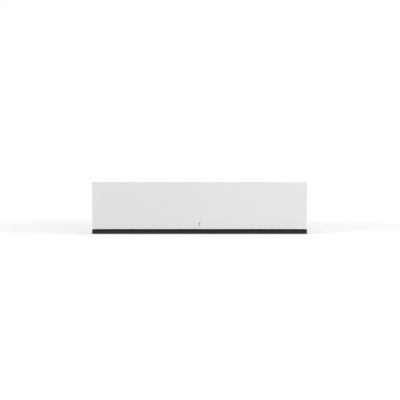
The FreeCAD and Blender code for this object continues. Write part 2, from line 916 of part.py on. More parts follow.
def sealing_bar():
    half = bar_length / 2
    front = bar_y - bar_width / 2
    bar = rounded_box(-half, half, front, front + bar_width, bar_bottom, bar_top, bar_corner)
    groove_z = bar_top - 3 * bar_groove
    groove = box(-half, half, front, front + bar_groove, groove_z, groove_z + bar_groove)
    return bar.cut(groove)


def heating_strip():
    half = bar_length / 2
    return box(-half, half, bar_y - strip_heater_width / 2, bar_y + strip_heater_width / 2,
               bar_top, bar_top + strip_heater_height)


def heating_cover():
    half = bar_length / 2 - strip_heater_width
    cover = box(-half, half, bar_y - cover_width / 2, bar_y + cover_width / 2, bar_top, bar_cover_top)
    return cover.cut(heating_strip())


def lift_cylinder(x):
    foot = rod(V(x, bar_y, chamber_floor), Z_AXIS, cylinder_foot_radius, cylinder_foot)
    body = rod(V(x, bar_y, chamber_floor), Z_AXIS, cylinder_radius, cylinder_height)
    bore_z = chamber_floor + cylinder_floor
    bore = rod(V(x, bar_y, bore_z), Z_AXIS, piston_radius + piston_clearance,
               cylinder_height - cylinder_floor)
    return fuse([foot, body]).cut(bore)


def lift_piston(x):
    low = chamber_floor + cylinder_floor + piston_rest_gap
    return rod(V(x, bar_y, low), Z_AXIS, piston_radius, bar_bottom - low)


def counter_bar_holder():
    half = bar_length / 2
    y0 = bar_y - holder_width / 2
    y1 = bar_y + holder_width / 2
    bar = box(-half, half, y0, y1, lid_bottom - holder_height, lid_bottom)
    side = (holder_width - counter_width) / 2
    slot = box(-half, half, y0 + side, y1 - side, lid_bottom - holder_height, lid_bottom - holder_wall)
    return bar.cut(slot)


def counter_bar():
    half = bar_length / 2
    y0 = bar_y - counter_width / 2
    bar = box(-half, half, y0, y0 + counter_width, counter_bottom, lid_bottom - holder_wall)
    return bar.makeFillet(counter_rounding, lower_edges(bar, counter_bottom))


def lower_edges(shape, z):
    """The long edges along X at a height."""
    return [edge for edge in edges_along(shape, X_AXIS) if abs(edge.BoundBox.ZMin - z) < 1e-4]


# Lid and its hinge

knuckle_half = knuckle_width / 2
ear_inner = knuckle_half + ear_gap
ear_outer = ear_inner + ear_width
clamp_y = lid_back_y + ear_gap


def lid_glass():
    pane = rounded_box(-lid_half, lid_half, lid_front_y, lid_back_y, lid_bottom, lid_top, lid_corner)
    pane = pane.makeChamfer(lid_bevel, edges_at(pane, Z_AXIS, lid_top))
    return pane.makeChamfer(lid_bevel, edges_at(pane, Z_AXIS, lid_bottom))


def lid_hinge_rail():
    """The channel that grips the lid's rear edge, with a knuckle at each hinge."""
    half = lid_half - lid_corner
    web_back = clamp_y + clamp_web
    top = box(-half, half, lid_back_y - clamp_cover, web_back, lid_top, lid_top + clamp_plate)
    web = box(-half, half, clamp_y, web_back, lid_bottom - clamp_foot, lid_top)
    foot = box(-half, half, lid_back_y - clamp_under, clamp_y, lid_bottom - clamp_foot, lid_bottom)
    pieces = [top, web, foot]
    bores = []
    for side in (-1, 1):
        x0 = side * hinge_place - knuckle_half
        start = V(x0, hinge_y, hinge_z)
        pieces.append(rod(start, X_AXIS, knuckle_radius, knuckle_width))
        pieces.append(box(x0, x0 + knuckle_width, web_back, hinge_y,
                          hinge_z - clamp_arm, hinge_z + clamp_arm))
        bores.append(rod(start, X_AXIS, pin_radius + pin_clearance, knuckle_width))
    return cut(fuse(pieces), bores)


def hinge_block(middle):
    """A foot on the deck with an ear each side of the lid's knuckle."""
    foot_half = ear_outer + hinge_base
    pieces = [box(middle - foot_half, middle + foot_half, hinge_y - ear_radius - hinge_base,
                  hinge_y + ear_radius + hinge_base, deck_top, deck_top + hinge_base)]
    for x0 in (middle + ear_inner, middle - ear_outer):
        pieces.append(rod(V(x0, hinge_y, hinge_z), X_AXIS, ear_radius, ear_width))
        pieces.append(box(x0, x0 + ear_width, hinge_y - ear_radius, hinge_y + ear_radius, deck_top, hinge_z))
    bore = rod(V(middle - ear_outer, hinge_y, hinge_z), X_AXIS, pin_radius, 2 * ear_outer)
    return fuse(pieces).cut(bore)


def hinge_pin():
    """The right-hand pin: head outside, long tail towards the middle for the spring."""
    spring_room = spring_pitch * spring_turns + 2 * spring_start
    inner_end = hinge_place - ear_outer - spring_room
    outer_end = hinge_place + ear_outer
    shank = rod(V(inner_end, hinge_y, hinge_z), X_AXIS, pin_radius, outer_end - inner_end)
    head = rod(V(outer_end, hinge_y, hinge_z), X_AXIS, pin_radius * 1.5, pin_radius / 2)
    return fuse([shank, head])


def spring_stations():
    """Points along the right-hand lid spring, wound about the hinge pin."""
    x0 = hinge_place - ear_outer - spring_start - spring_pitch * spring_turns
    slope = spring_pitch / (2 * math.pi * spring_radius)
    stations = []
    for step in range(int(spring_turns * 4) + 2):
        angle = math.pi / 2 * step
        point = V(x0 + spring_pitch * step / 4, hinge_y + spring_radius * math.cos(angle),
                  hinge_z + spring_radius * math.sin(angle))
        heading = V(slope, -math.sin(angle), math.cos(angle)).normalize()
        stations.append((point, heading))
    first, first_heading = stations[0]
    last, last_heading = stations[-1]
    stations.insert(0, (first - first_heading * spring_leg, first_heading))
    stations.append((last + last_heading * spring_leg, last_heading))
    return stations


def lid_springs():
    path, spring = tube_through(spring_stations(), spring_wire)
    print("lid spring: least gap between turns", round(least_gap(path, spring_wire), 2), "mm")
    return both_sides(spring)


# Control panel

panel_half = chassis_half - panel_inset
panel_back_y = panel_front_y + panel_depth
board_z = panel_bottom + panel_wall + board_post_height


def control_housing():
    """The shallow tray under the touch glass, with posts for its board."""
    outer = rounded_box(-panel_half, panel_half, panel_front_y, panel_back_y,
                        panel_bottom, panel_glass_bottom, panel_corner)
    inner = box(-panel_half + panel_wall, panel_half - panel_wall, panel_front_y + panel_wall,
                panel_back_y - panel_wall, panel_bottom + panel_wall, panel_glass_bottom)
    pieces = [outer.cut(inner)]
    middle = (panel_front_y + panel_back_y) / 2
    for x in (-board_width / 2 + board_post, board_width / 2 - board_post):
        for y in (middle - board_depth / 2 + board_post, middle + board_depth / 2 - board_post):
            pieces.append(rod(V(x, y, panel_bottom + panel_wall), Z_AXIS, board_post, board_post_height))
    return fuse(pieces)


def control_glass():
    pane = rounded_box(-panel_half, panel_half, panel_front_y, panel_back_y,
                       panel_glass_bottom, panel_glass_bottom + panel_glass, panel_corner)
    return pane.makeChamfer(glass_bevel, edges_at(pane, Z_AXIS, panel_glass_bottom + panel_glass))


def control_board():
    """The board with its display and the springs that sense a finger through the glass."""
    middle = (panel_front_y + panel_back_y) / 2
    half = board_width / 2
    board_top = board_z + board_thickness
    reach = panel_glass_bottom - glass_seat_gap - board_top
    pieces = [box(-half, half, middle - board_depth / 2, middle + board_depth / 2, board_z, board_top)]
    pieces.append(box(-display_width / 2, display_width / 2, middle - display_depth / 2,
                      middle + display_depth / 2, board_top, board_top + reach))
    for i in range(touch_keys):
        from_middle = display_width / 2 + touch_key_pitch * (i // 2) + touch_key_pitch / 2
        x = from_middle if i % 2 else -from_middle
        if abs(x) + touch_key_radius < half:
            pieces.append(rod(V(x, middle, board_top), Z_AXIS, touch_key_radius, reach))
    return fuse(pieces)


# Vacuum pump, motor and exhaust filter

pump_y = (chamber_back_y + tub_wall + drawer_back_y - chassis_sheet) / 2
pump_bottom = floor_top + pump_mount_height
pump_height = deck_bottom - pump_clearance - pump_bottom
pump_z = pump_bottom + pump_height / 2
pump_chamber_radius = pump_height / 2 - pump_casing_wall
motor_radius = pump_height / 2
motor_drum_radius = motor_radius - motor_drum_inset
pump_left = pump_right - pump_length
motor_left = pump_left - motor_length
rotor_radius = pump_chamber_radius - pump_offset - rotor_gap
nipple_y = pump_y - pump_width / 3
nipple_z = pump_bottom + 1.5 * nipple_drop


def pump_body():
    """The ribbed pump casting, bored off its shaft's centre, with its inlet nipple."""
    y0 = pump_y - pump_width / 2
    y1 = pump_y + pump_width / 2
    top = pump_bottom + pump_height
    block = box(pump_left, pump_right, y0, y1, pump_bottom, top)
    grooves = []
    for i in range(int((pump_length - 2 * pump_end_wall) / rib_pitch) + 1):
        x0 = pump_left + pump_end_wall + rib_pitch * i - rib_width
        x1 = x0 + rib_pitch - rib_width
        grooves.append(box(x0, x1, y0, y1, top - rib_depth, top))
        grooves.append(box(x0, x1, y0, y0 + rib_depth, pump_bottom + pump_height / 2, top))
        grooves.append(box(x0, x1, y1 - rib_depth, y1, pump_bottom + rib_pitch, top))
    chamber_start = V(pump_left + pump_end_wall, pump_y, pump_z + pump_offset)
    chamber = rod(chamber_start, X_AXIS, pump_chamber_radius, pump_length - 2 * pump_end_wall)
    shaft_hole = rod(V(pump_left, pump_y, pump_z), X_AXIS, shaft_radius + shaft_clearance, pump_end_wall)
    inlet = V(pump_right, nipple_y, nipple_z)
    nipple = rod(inlet, X_AXIS, nipple_radius, nipple_length)
    bore = rod(inlet - X_AXIS * pump_end_wall / 2, X_AXIS, nipple_bore, nipple_length + pump_end_wall / 2)
    return cut(fuse([cut(block, grooves), nipple]), [chamber, shaft_hole, bore])


def pump_motor():
    """The motor's round shell, hollow for its rotor, open only for the shaft."""
    start = V(motor_left, pump_y, pump_z)
    shell = rod(start, X_AXIS, motor_radius, motor_length)
    fins = []
    for i in range(int(motor_length / rib_pitch) - 1):
        ring_start = start + X_AXIS * (rib_pitch * (i + 0.5))
        ring = rod(ring_start, X_AXIS, motor_radius + 1, rib_pitch - rib_width)
        fins.append(ring.cut(rod(ring_start, X_AXIS, motor_radius - rib_depth / 2, rib_pitch - rib_width)))
    hollow = rod(start + X_AXIS * 3 * motor_wall, X_AXIS, motor_drum_radius + motor_drum_gap,
                 motor_length - 6 * motor_wall)
    shaft_way = rod(start + X_AXIS * motor_wall, X_AXIS, shaft_radius + shaft_clearance,
                    motor_length - motor_wall)
    return cut(shell, fins + [hollow, shaft_way])


def pump_rotor():
    """One turning piece: the motor's drum, the shaft and the slotted pump rotor."""
    drum_start = motor_left + 4 * motor_wall
    drum_end = pump_left - 4 * motor_wall
    shaft_start = motor_left + motor_wall + piston_rest_gap
    rotor_start = pump_left + pump_end_wall + rotor_gap
    rotor_end = pump_right - pump_end_wall - rotor_gap
    axis_at = lambda x: V(x, pump_y, pump_z)
    drum = rod(axis_at(drum_start), X_AXIS, motor_drum_radius, drum_end - drum_start)
    shaft = rod(axis_at(shaft_start), X_AXIS, shaft_radius, rotor_start - shaft_start)
    rotor = rod(axis_at(rotor_start), X_AXIS, rotor_radius, rotor_end - rotor_start)
    slots = []
    for i in range(3):
        slot = box(rotor_start, rotor_end, pump_y - rib_width / 2, pump_y + rib_width / 2,
                   pump_z + rotor_radius / 2, pump_z + rotor_radius + 1)
        slots.append(slot.rotate(axis_at(0), X_AXIS, 120 * i))
    return cut(fuse([drum, shaft, rotor]), slots)


def exhaust_filter():
    """The oil mist filter can on the pump's right end."""
    start = V(pump_right, pump_y + pump_width / 2 - filter_radius - rib_depth, pump_z)
    can = rod(start, X_AXIS, filter_radius, filter_length)
    can = can.makeFillet(rib_depth, edges_at(can, X_AXIS, pump_right + filter_length))
    collar = rod(start + X_AXIS * (filter_length * 0.75), X_AXIS, filter_radius + 1.5, rib_pitch)
    return fuse([can, collar])


def rubber_mounts():
    """Four pads under the chamber and four under the pump."""
    pads = []
    for side in (-1, 1):
        x = side * (chamber_width / 2 - chamber_corner)
        for y in (chamber_front_y + chamber_corner, chamber_back_y - chamber_corner):
            pads.append(rod(V(x, y, floor_top), Z_AXIS, mount_radius, tub_gap))
    for x in (pump_left + 2 * pump_mount_radius, pump_right - 2 * pump_mount_radius):
        for y in (pump_y - pump_width / 3, pump_y + pump_width / 3):
            pads.append(rod(V(x, y, floor_top), Z_AXIS, pump_mount_radius, pump_mount_height))
    return pads


# Valves and hoses

port_z = rim_top - port_drop
valve_left = tub_half + valve_block_inset
valve_middle = valve_left + valve_block_width / 2
valve_back_y = chamber_back_y - cylinder_radius - valve_block_inset
valve_front_y = valve_back_y - valve_block_length
valve_top = floor_top + valve_block_height
coil_ys = (valve_front_y + coil_size / 2 + coil_gap / 2, valve_back_y - coil_size / 2 - coil_gap / 2)


def valve_block():
    """The ported block and the two coils that stand on it."""
    block = box(valve_left, valve_left + valve_block_width, valve_front_y, valve_back_y, floor_top, valve_top)
    coils = []
    for y in coil_ys:
        coil = box(valve_middle - coil_size / 2, valve_middle + coil_size / 2, y - coil_size / 2,
                   y + coil_size / 2, valve_top, valve_top + coil_height)
        bore = rod(V(valve_middle, y, valve_top), Z_AXIS, plunger_radius + plunger_clearance,
                   coil_height - valve_cap)
        coils.append(coil.cut(bore))
    return [block] + coils


def valve_plunger(y):
    """The iron core in a valve coil, with a thin stem for its spring."""
    low = valve_top + glass_seat_gap
    core = rod(V(valve_middle, y, low), Z_AXIS, plunger_radius, plunger_length)
    room = coil_height - valve_cap - glass_seat_gap - plunger_length - plunger_travel - glass_seat_gap
    stem = rod(V(valve_middle, y, low + plunger_length), Z_AXIS, plunger_stem_radius, room)
    return fuse([core, stem])


def vacuum_hoses():
    """One hose from the chamber to the valve block, one from the block to the pump."""
    port_end_y = chamber_back_y + tub_wall + port_reach
    cross_y = chamber_back_y + hose_line + hose_radius - tub_wall
    inner_x = valve_left + 1.5 * hose_radius
    outer_x = valve_left + valve_block_width - 1.5 * hose_radius
    low_z = floor_top + hose_bend + hose_radius
    chamber_hose = hose([V(port_place, port_end_y, port_z), V(port_place, cross_y, port_z),
                         V(outer_x, cross_y, port_z), V(outer_x, cross_y, low_z),
                         V(outer_x, valve_back_y, low_z)], hose_bend)
    pump_hose = hose([V(pump_right + nipple_length, nipple_y, nipple_z), V(inner_x, nipple_y, nipple_z),
                      V(inner_x, valve_back_y, nipple_z)], hose_bend)
    return [chamber_hose, pump_hose]


# Transformer, power board and fan

def transformer():
    """A laminated core on a foot, with the winding on its middle limb."""
    x0 = transformer_place - transformer_width / 2
    x1 = transformer_place + transformer_width / 2
    middle_y = drawer_back_y - chassis_sheet - power_board_rise - winding_depth / 2
    y0 = middle_y - transformer_stack / 2
    y1 = middle_y + transformer_stack / 2
    z0 = floor_top + transformer_foot
    z1 = z0 + transformer_height
    limb = transformer_limb
    stack = box(x0, x1, y0, y1, z0, z1)
    windows = []
    gap = (transformer_width - 4 * limb) / 2
    for left in (x0 + limb, x1 - limb - gap):
        windows.append(box(left, left + gap, y0, y1, z0 + limb, z1 - limb))
    foot = box(x0, x1, y0 - limb / 2, y1 + limb / 2, floor_top, z0)
    core = cut(fuse([stack, foot]), windows)
    coil = rounded_box(x0 + limb, x1 - limb, middle_y - winding_depth / 2, middle_y + winding_depth / 2,
                       z0 + limb, z1 - limb, limb)
    middle_limb = box(x0 + limb + gap, x1 - limb - gap, y0, y1, z0 + limb, z1 - limb)
    return [core, coil.cut(middle_limb)]


def power_board():
    """The board beside the chamber with its parts, on four posts."""
    x0 = -chassis_inside + power_board_inset
    x1 = x0 + power_board_width
    y0 = -power_board_length / 2
    y1 = power_board_length / 2
    board_bottom = floor_top + power_board_rise
    board_top = board_bottom + board_thickness
    pieces = [box(x0, x1, y0, y1, board_bottom, board_top)]
    for x in (x0 + 2 * board_post, x1 - 2 * board_post):
        for y in (y0 + 2 * board_post, y1 - 2 * board_post):
            pieces.append(rod(V(x, y, floor_top), Z_AXIS, board_post, power_board_rise))
    middle = (x0 + x1) / 2
    for i in range(3):
        pieces.append(rod(V(middle - coil_size / 2, y0 + coil_size * (i + 1), board_top), Z_AXIS,
                          coil_size / 3, coil_size))
    pieces.append(box(middle, x1 - coil_gap, y0 + coil_size, y0 + 2.4 * coil_size, board_top,
                      board_top + coil_size))
    pieces.append(box(x0 + coil_gap, x1 - coil_gap, y1 - 1.6 * coil_size, y1 - coil_gap * 2, board_top,
                      board_top + coil_size / 2))
    return fuse(pieces)


def fan_housing():
    """A square fan frame with a hub held by three struts."""
    y1 = drawer_back_y - chassis_sheet
    y0 = y1 - fan_depth
    half = fan_size / 2
    frame = rounded_box(fan_place - half, fan_place + half, y0, y1, fan_z - half, fan_z + half,
                        panel_corner, Y_AXIS)
    frame = frame.cut(rod(V(fan_place, y0, fan_z), Y_AXIS, fan_bore, fan_depth))
    hub = rod(V(fan_place, y0, fan_z), Y_AXIS, fan_hub, fan_hub_depth)
    pieces = [frame, hub]
    for i in range(3):
        strut = box(fan_place - strut_width / 2, fan_place + strut_width / 2, y0, y0 + fan_hub_depth / 2,
                    fan_z + fan_hub / 2, fan_z + fan_bore + glass_bevel)
        pieces.append(strut.rotate(V(fan_place, y0, fan_z), Y_AXIS, 120 * i))
    bore = rod(V(fan_place, y0, fan_z), Y_AXIS, fan_shaft + fan_clearance, fan_hub_depth)
    return fuse(pieces).cut(bore)


def fan_impeller():
    """Hub, shaft and slanted blades."""
    y0 = drawer_back_y - chassis_sheet - fan_depth
    hub_y = y0 + fan_hub_depth + fan_tip_gap
    depth = fan_depth - fan_hub_depth - 2 * fan_tip_gap
    pieces = [rod(V(fan_place, hub_y, fan_z), Y_AXIS, fan_hub, depth)]
    pieces.append(rod(V(fan_place, y0 + fan_tip_gap, fan_z), Y_AXIS, fan_shaft, fan_hub_depth))
    middle = V(fan_place, hub_y + depth / 2, fan_z)
    tip = rod(V(fan_place, hub_y, fan_z), Y_AXIS, fan_bore - fan_tip_gap, depth)
    for i in range(fan_blades):
        blade = box(fan_place - fan_blade_sheet / 2, fan_place + fan_blade_sheet / 2, hub_y - depth,
                    hub_y + 2 * depth, fan_z + fan_hub / 2, fan_z + fan_bore)
        blade = blade.rotate(middle, Z_AXIS, 50)
        blade = blade.rotate(middle, Y_AXIS, 360 * i / fan_blades)
        pieces.append(blade.common(tip))
    return fuse(pieces)


# Mains connection, coiled lead and latch

terminal_y = casing_inside_y - terminal_depth
lead_start_y = terminal_y - 2 * (lead_tail + lead_rise_step) - lead_pitch * lead_turns


def terminal_box():
    x0 = terminal_place - terminal_width / 2
    x1 = terminal_place + terminal_width / 2
    z1 = floor_top + terminal_height
    wall = terminal_wall
    outer = box(x0, x1, terminal_y, casing_inside_y, floor_top, z1)
    inner = box(x0 + wall, x1 - wall, terminal_y + wall, casing_inside_y - wall, floor_top + wall, z1 - wall)
    hole = rod(V(terminal_place, casing_inside_y - wall, gland_z), Y_AXIS, gland_radius, wall)
    return cut(outer, [inner, hole])


def hexagon(start, across, depth):
    """A hexagonal nut along +Y."""
    corners = []
    for i in range(7):
        angle = math.radians(60 * i)
        corners.append(start + V(across * math.cos(angle), 0, across * math.sin(angle)))
    return Part.Face(Part.makePolygon(corners)).extrude(Y_AXIS * depth)


def mains_gland():
    """The hollow cable gland through the back wall, nutted on both sides."""
    inner_y = casing_inside_y - terminal_wall - gland_nut_depth
    inner_nut = hexagon(V(terminal_place, inner_y, gland_z), gland_nut, gland_nut_depth)
    outer_nut = hexagon(V(terminal_place, casing_back_y, gland_z), gland_nut, gland_nut_depth)
    start = V(terminal_place, inner_y, gland_z)
    length = casing_back_y + gland_projection - inner_y
    barrel = rod(start, Y_AXIS, gland_radius, length)
    barrel = barrel.makeFillet(gland_radius / 4, edges_at(barrel, Y_AXIS, casing_back_y + gland_projection))
    bore = rod(start, Y_AXIS, gland_bore, length)
    return fuse([inner_nut, outer_nut, barrel]).cut(bore)


def coiled_lead():
    """The curly lead that feeds the drawer and stretches as it opens."""
    stations = coil_stations(lead_radius, lead_pitch, lead_turns, lead_tail, lead_rise_step)
    shift = V(lead_place, lead_start_y - stations[0][0].y, lead_z)
    placed = [(point + shift, heading) for point, heading in stations]
    path, lead = tube_through(placed, lead_wire)
    print("coiled lead: least gap between curls", round(least_gap(path, lead_wire), 2), "mm")
    print("coiled lead: drawn length", round(path.Length), "mm")
    return lead


def lead_clamp():
    """The block on the drawer's floor that holds the lead's front end."""
    y0 = lead_start_y - clamp_block_depth
    x0 = lead_place - clamp_block / 2
    return rounded_box(x0, x0 + clamp_block, y0, lead_start_y, floor_top, floor_top + clamp_block_height,
                       lead_wire / 2, Y_AXIS)


latch_front_y = drawer_back_y + striker_plate + press_travel + buffer_clearance
striker_z = base_top + latch_height * 0.6
striker_end_y = drawer_back_y + striker_plate + striker_reach


def latch_housing():
    """The push latch on the casing's floor, with its throat for the striker."""
    half = latch_width / 2
    block = rounded_box(-half, half, latch_front_y, casing_inside_y, base_top, base_top + latch_height,
                        striker_plate, Y_AXIS)
    throat_end = striker_end_y + press_travel + striker_clearance
    throat = rod(V(0, latch_front_y, striker_z), Y_AXIS, striker_radius + striker_clearance,
                 throat_end - latch_front_y)
    return block.cut(throat)


def striker():
    """The round bolt on the drawer's back that the latch catches, with a neck for it."""
    flange = rod(V(0, drawer_back_y, striker_z), Y_AXIS, striker_flange, striker_plate)
    bolt = rod(V(0, drawer_back_y, striker_z), Y_AXIS, striker_radius, striker_end_y - drawer_back_y)
    bolt = bolt.makeChamfer(striker_clearance, edges_at(bolt, Y_AXIS, striker_end_y))
    neck_y = striker_end_y - 2 * striker_radius
    sleeve = rod(V(0, neck_y, striker_z), Y_AXIS, striker_radius, striker_radius)
    neck = sleeve.cut(rod(V(0, neck_y, striker_z), Y_AXIS, striker_radius * 0.6, striker_radius))
    return fuse([flange, bolt]).cut(neck)


def write_casing():
    save("casing_base", casing_base())
    save("casing_sides", [cut(side, casing_holes) for side in both_sides(casing_side())])
    save("casing_back", casing_back())
    rear_rail_y = casing_inside_y - rail_depth
    front_rail = casing_rail(casing_front_y, casing_front_y + rail_depth, casing_front_y, front_tab_y)
    rear_rail = casing_rail(rear_rail_y, casing_inside_y, rear_rail_y, back_tab_y)
    save("casing_rails", [front_rail, rear_rail])
    save("vent_strip", vent_strip())
    save("glides", glides())
    save("casing_rivets", [rivet(*place) for place in casing_rivet_places()])
    save("front_buffers", front_buffers())
    save("terminal_box", terminal_box())
    save("mains_gland", mains_gland())
    save("latch_housing", latch_housing())
    save("coiled_lead", coiled_lead())


def write_runners():
    save("runner_outer", both_sides(runner_outer()))
    save("runner_middle", both_sides(runner_middle()))
    save("runner_inner", both_sides(runner_inner()))
    outer = ball_cage(cage_web_outer, outer_ball_line, outer_ball_z)
    inner = ball_cage(cage_web_inner, inner_ball_line, inner_ball_z)
    save("outer_ball_cages", outer + [mirrored(piece) for piece in outer])
    save("inner_ball_cages", inner + [mirrored(piece) for piece in inner])


def write_drawer():
    save("drawer_floor", drawer_floor())
    save("drawer_sides", [cut(side, drawer_holes) for side in both_sides(drawer_side())])
    save("drawer_front_wall", drawer_front_wall())
    save("drawer_back", drawer_back())
    save("deck_frame", deck_frame())
    save("rear_cover", rear_cover())
    save("drawer_rivets", [rivet(*place) for place in drawer_rivet_places()])
    save("striker", striker())
    save("lead_clamp", lead_clamp())
    save("front_glass", front_glass())
    save("glass_tape", panel_frame(tape_inset, glass_back_y, tape_back_y, tape_width))
    save("front_carrier", front_carrier())


def write_chamber():
    save("chamber_tub", chamber_tub())
    save("chamber_seal", chamber_seal())
    save("suction_port", suction_port())
    save("rubber_mounts", rubber_mounts())
    save("sealing_bar", sealing_bar())
    save("heating_strip", heating_strip())
    save("heating_cover", heating_cover())
    save("lift_cylinders", [lift_cylinder(-lift_place), lift_cylinder(lift_place)])
    save("lift_pistons", [lift_piston(-lift_place), lift_piston(lift_place)])
    save("counter_bar_holder", counter_bar_holder())
    save("counter_bar", counter_bar())


def write_lid():
    save("lid_glass", lid_glass())
    save("lid_hinge_rail", lid_hinge_rail())
    save("hinge_blocks", [hinge_block(-hinge_place), hinge_block(hinge_place)])
    save("hinge_pins", both_sides(hinge_pin()))
    save("lid_springs", lid_springs())


def write_workings():
    save("control_housing", control_housing())
    save("control_glass", control_glass())
    save("control_board", control_board())
    save("pump_body", pump_body())
    save("pump_motor", pump_motor())
    save("pump_rotor", pump_rotor())
    save("exhaust_filter", exhaust_filter())
    save("valve_block", valve_block())
    save("vacuum_plunger", valve_plunger(coil_ys[0]))
    save("vent_plunger", valve_plunger(coil_ys[1]))
    save("vacuum_hoses", vacuum_hoses())
    save("transformer", transformer())
    save("power_board", power_board())
    save("fan_housing", fan_housing())
    save("fan_impeller", fan_impeller())


os.makedirs("parts", exist_ok=True)
write_casing()
write_runners()
write_drawer()
write_chamber()
write_lid()
write_workings()
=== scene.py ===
import math

import bmesh
import bpy
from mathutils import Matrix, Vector


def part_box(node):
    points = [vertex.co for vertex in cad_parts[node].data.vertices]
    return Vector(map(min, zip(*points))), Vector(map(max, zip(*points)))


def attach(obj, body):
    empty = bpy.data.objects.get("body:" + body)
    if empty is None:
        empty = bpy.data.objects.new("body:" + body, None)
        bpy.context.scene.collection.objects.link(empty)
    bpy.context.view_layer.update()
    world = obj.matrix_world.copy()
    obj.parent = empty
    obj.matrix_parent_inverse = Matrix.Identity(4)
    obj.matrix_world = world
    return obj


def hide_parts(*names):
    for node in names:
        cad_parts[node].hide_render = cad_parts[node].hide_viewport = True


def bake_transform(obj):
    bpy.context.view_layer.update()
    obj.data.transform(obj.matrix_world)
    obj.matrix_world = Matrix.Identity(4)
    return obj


# The dressed model of a built-in vacuum sealing drawer, in metres.
# X runs to the right, the white front faces -Y, and Z is up from the shelf.

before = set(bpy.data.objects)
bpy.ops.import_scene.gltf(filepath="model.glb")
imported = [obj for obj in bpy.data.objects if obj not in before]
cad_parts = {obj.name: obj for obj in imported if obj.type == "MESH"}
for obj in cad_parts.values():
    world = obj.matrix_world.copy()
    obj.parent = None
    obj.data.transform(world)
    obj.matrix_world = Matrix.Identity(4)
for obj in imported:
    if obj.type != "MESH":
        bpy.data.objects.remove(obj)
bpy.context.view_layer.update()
MM = 0.001
X_AXIS, Y_AXIS, Z_AXIS = Vector((1, 0, 0)), Vector((0, 1, 0)), Vector((0, 0, 1))


# Short calls for building node trees

def feed(tree, socket, value):
    """Links another socket to an input, or sets the input's own value."""
    if isinstance(value, bpy.types.NodeSocket):
        tree.links.new(value, socket)
    elif socket.type == "RGBA" and len(value) == 3:
        socket.default_value = (*value, 1.0)
    else:
        socket.default_value = value


def add_node(tree, kind, inputs=None, **settings):
    """One node with its settings, and its inputs as values or as other nodes' sockets."""
    node = tree.nodes.new(kind)
    for key, value in settings.items():
        setattr(node, key, value)
    for key, value in (inputs or {}).items():
        feed(tree, node.inputs[key], value)
    return node


def new_group(name, inputs, outputs, kind="ShaderNodeTree"):
    """A node group; returns the tree, what it is given and what it puts out."""
    tree = bpy.data.node_groups.new(name, kind)
    for side, sockets in (("INPUT", inputs), ("OUTPUT", outputs)):
        for label, socket in sockets.items():
            tree.interface.new_socket(label, in_out=side, socket_type="NodeSocket" + socket)
    return tree, tree.nodes.new("NodeGroupInput").outputs, tree.nodes.new("NodeGroupOutput").inputs


def combine(tree, operation, *values, clamp=False):
    """A Math node on two or three values or sockets; returns its result."""
    node = add_node(tree, "ShaderNodeMath", dict(enumerate(values)), operation=operation, use_clamp=clamp)
    return node.outputs[0]


def ramp(tree, value, low, high, to_low=0.0, to_high=1.0):
    """Turns a value between low and high smoothly into one between to_low and to_high."""
    inputs = {"Value": value, "From Min": low, "From Max": high, "To Min": to_low, "To Max": to_high}
    return add_node(tree, "ShaderNodeMapRange", inputs, interpolation_type="SMOOTHSTEP").outputs["Result"]


def blend_colours(tree, share, first, second):
    """The colour between two colours by a share."""
    return add_node(tree, "ShaderNodeMix", {0: share, 6: first, 7: second}, data_type="RGBA").outputs[2]


# Effects that several finishes share

def noise(tree, vector, scale, detail, roughness=0.5):
    inputs = {"Vector": vector, "Scale": scale, "Detail": detail, "Roughness": roughness}
    return add_node(tree, "ShaderNodeTexNoise", inputs).outputs


def make_tone_group():
    """Soft patches between two tones, with a roughness that drifts along."""
    tree, given, made = new_group("uneven_tone", {
        "Vector": "Vector", "Scale": "Float", "Light": "Color", "Dark": "Color", "Roughness": "Float",
        "Spread": "Float"}, {"Color": "Color", "Roughness": "Float"})
    share = ramp(tree, noise(tree, given["Vector"], given["Scale"], 4.0, 0.6)["Fac"], 0.3, 0.7)
    feed(tree, made["Color"], blend_colours(tree, share, given["Dark"], given["Light"]))
    feed(tree, made["Roughness"], combine(tree, "MULTIPLY_ADD", share, given["Spread"], given["Roughness"]))
    return tree


def make_grain_group():
    """Fine scratches, drawn out along the axis whose stretch is small."""
    tree, given, made = new_group(
        "drawn_out_grain", {"Vector": "Vector", "Stretch": "Vector"}, {"Height": "Float"})
    stretched = add_node(tree, "ShaderNodeVectorMath", {0: given["Vector"], 1: given["Stretch"]},
                         operation="MULTIPLY")
    feed(tree, made["Height"], noise(tree, stretched.outputs[0], 1.0, 3.0, 0.7)["Fac"])
    return tree


def make_spangle_group():
    """The crystal facets of zinc-dipped sheet."""
    tree, given, made = new_group(
        "zinc_spangle", {"Vector": "Vector", "Scale": "Float"}, {"Shade": "Float", "Height": "Float"})
    bent = noise(tree, given["Vector"], given["Scale"], 2.0)["Color"]
    pushed = add_node(tree, "ShaderNodeVectorMath", {0: bent, 1: (0.008, 0.008, 0.008), 2: given["Vector"]},
                      operation="MULTIPLY_ADD")
    cells = add_node(tree, "ShaderNodeTexVoronoi", {"Vector": pushed.outputs[0], "Scale": given["Scale"]})
    shade = add_node(tree, "ShaderNodeSeparateColor", {"Color": cells.outputs["Color"]})
    feed(tree, made["Shade"], shade.outputs["Red"])
    feed(tree, made["Height"], cells.outputs["Distance"])
    return tree


def make_speckle_group():
    """The pebbled skin of moulded plastic, powder coat and castings."""
    tree, given, made = new_group("pebbled_skin", {"Vector": "Vector", "Scale": "Float"}, {"Height": "Float"})
    vector, scale = given["Vector"], given["Scale"]
    large = noise(tree, vector, scale, 2.0)["Fac"]
    small = add_node(tree, "ShaderNodeTexVoronoi", {"Vector": vector, "Scale": scale}, feature="SMOOTH_F1")
    feed(tree, made["Height"], combine(tree, "MULTIPLY", large, small.outputs["Distance"]))
    return tree


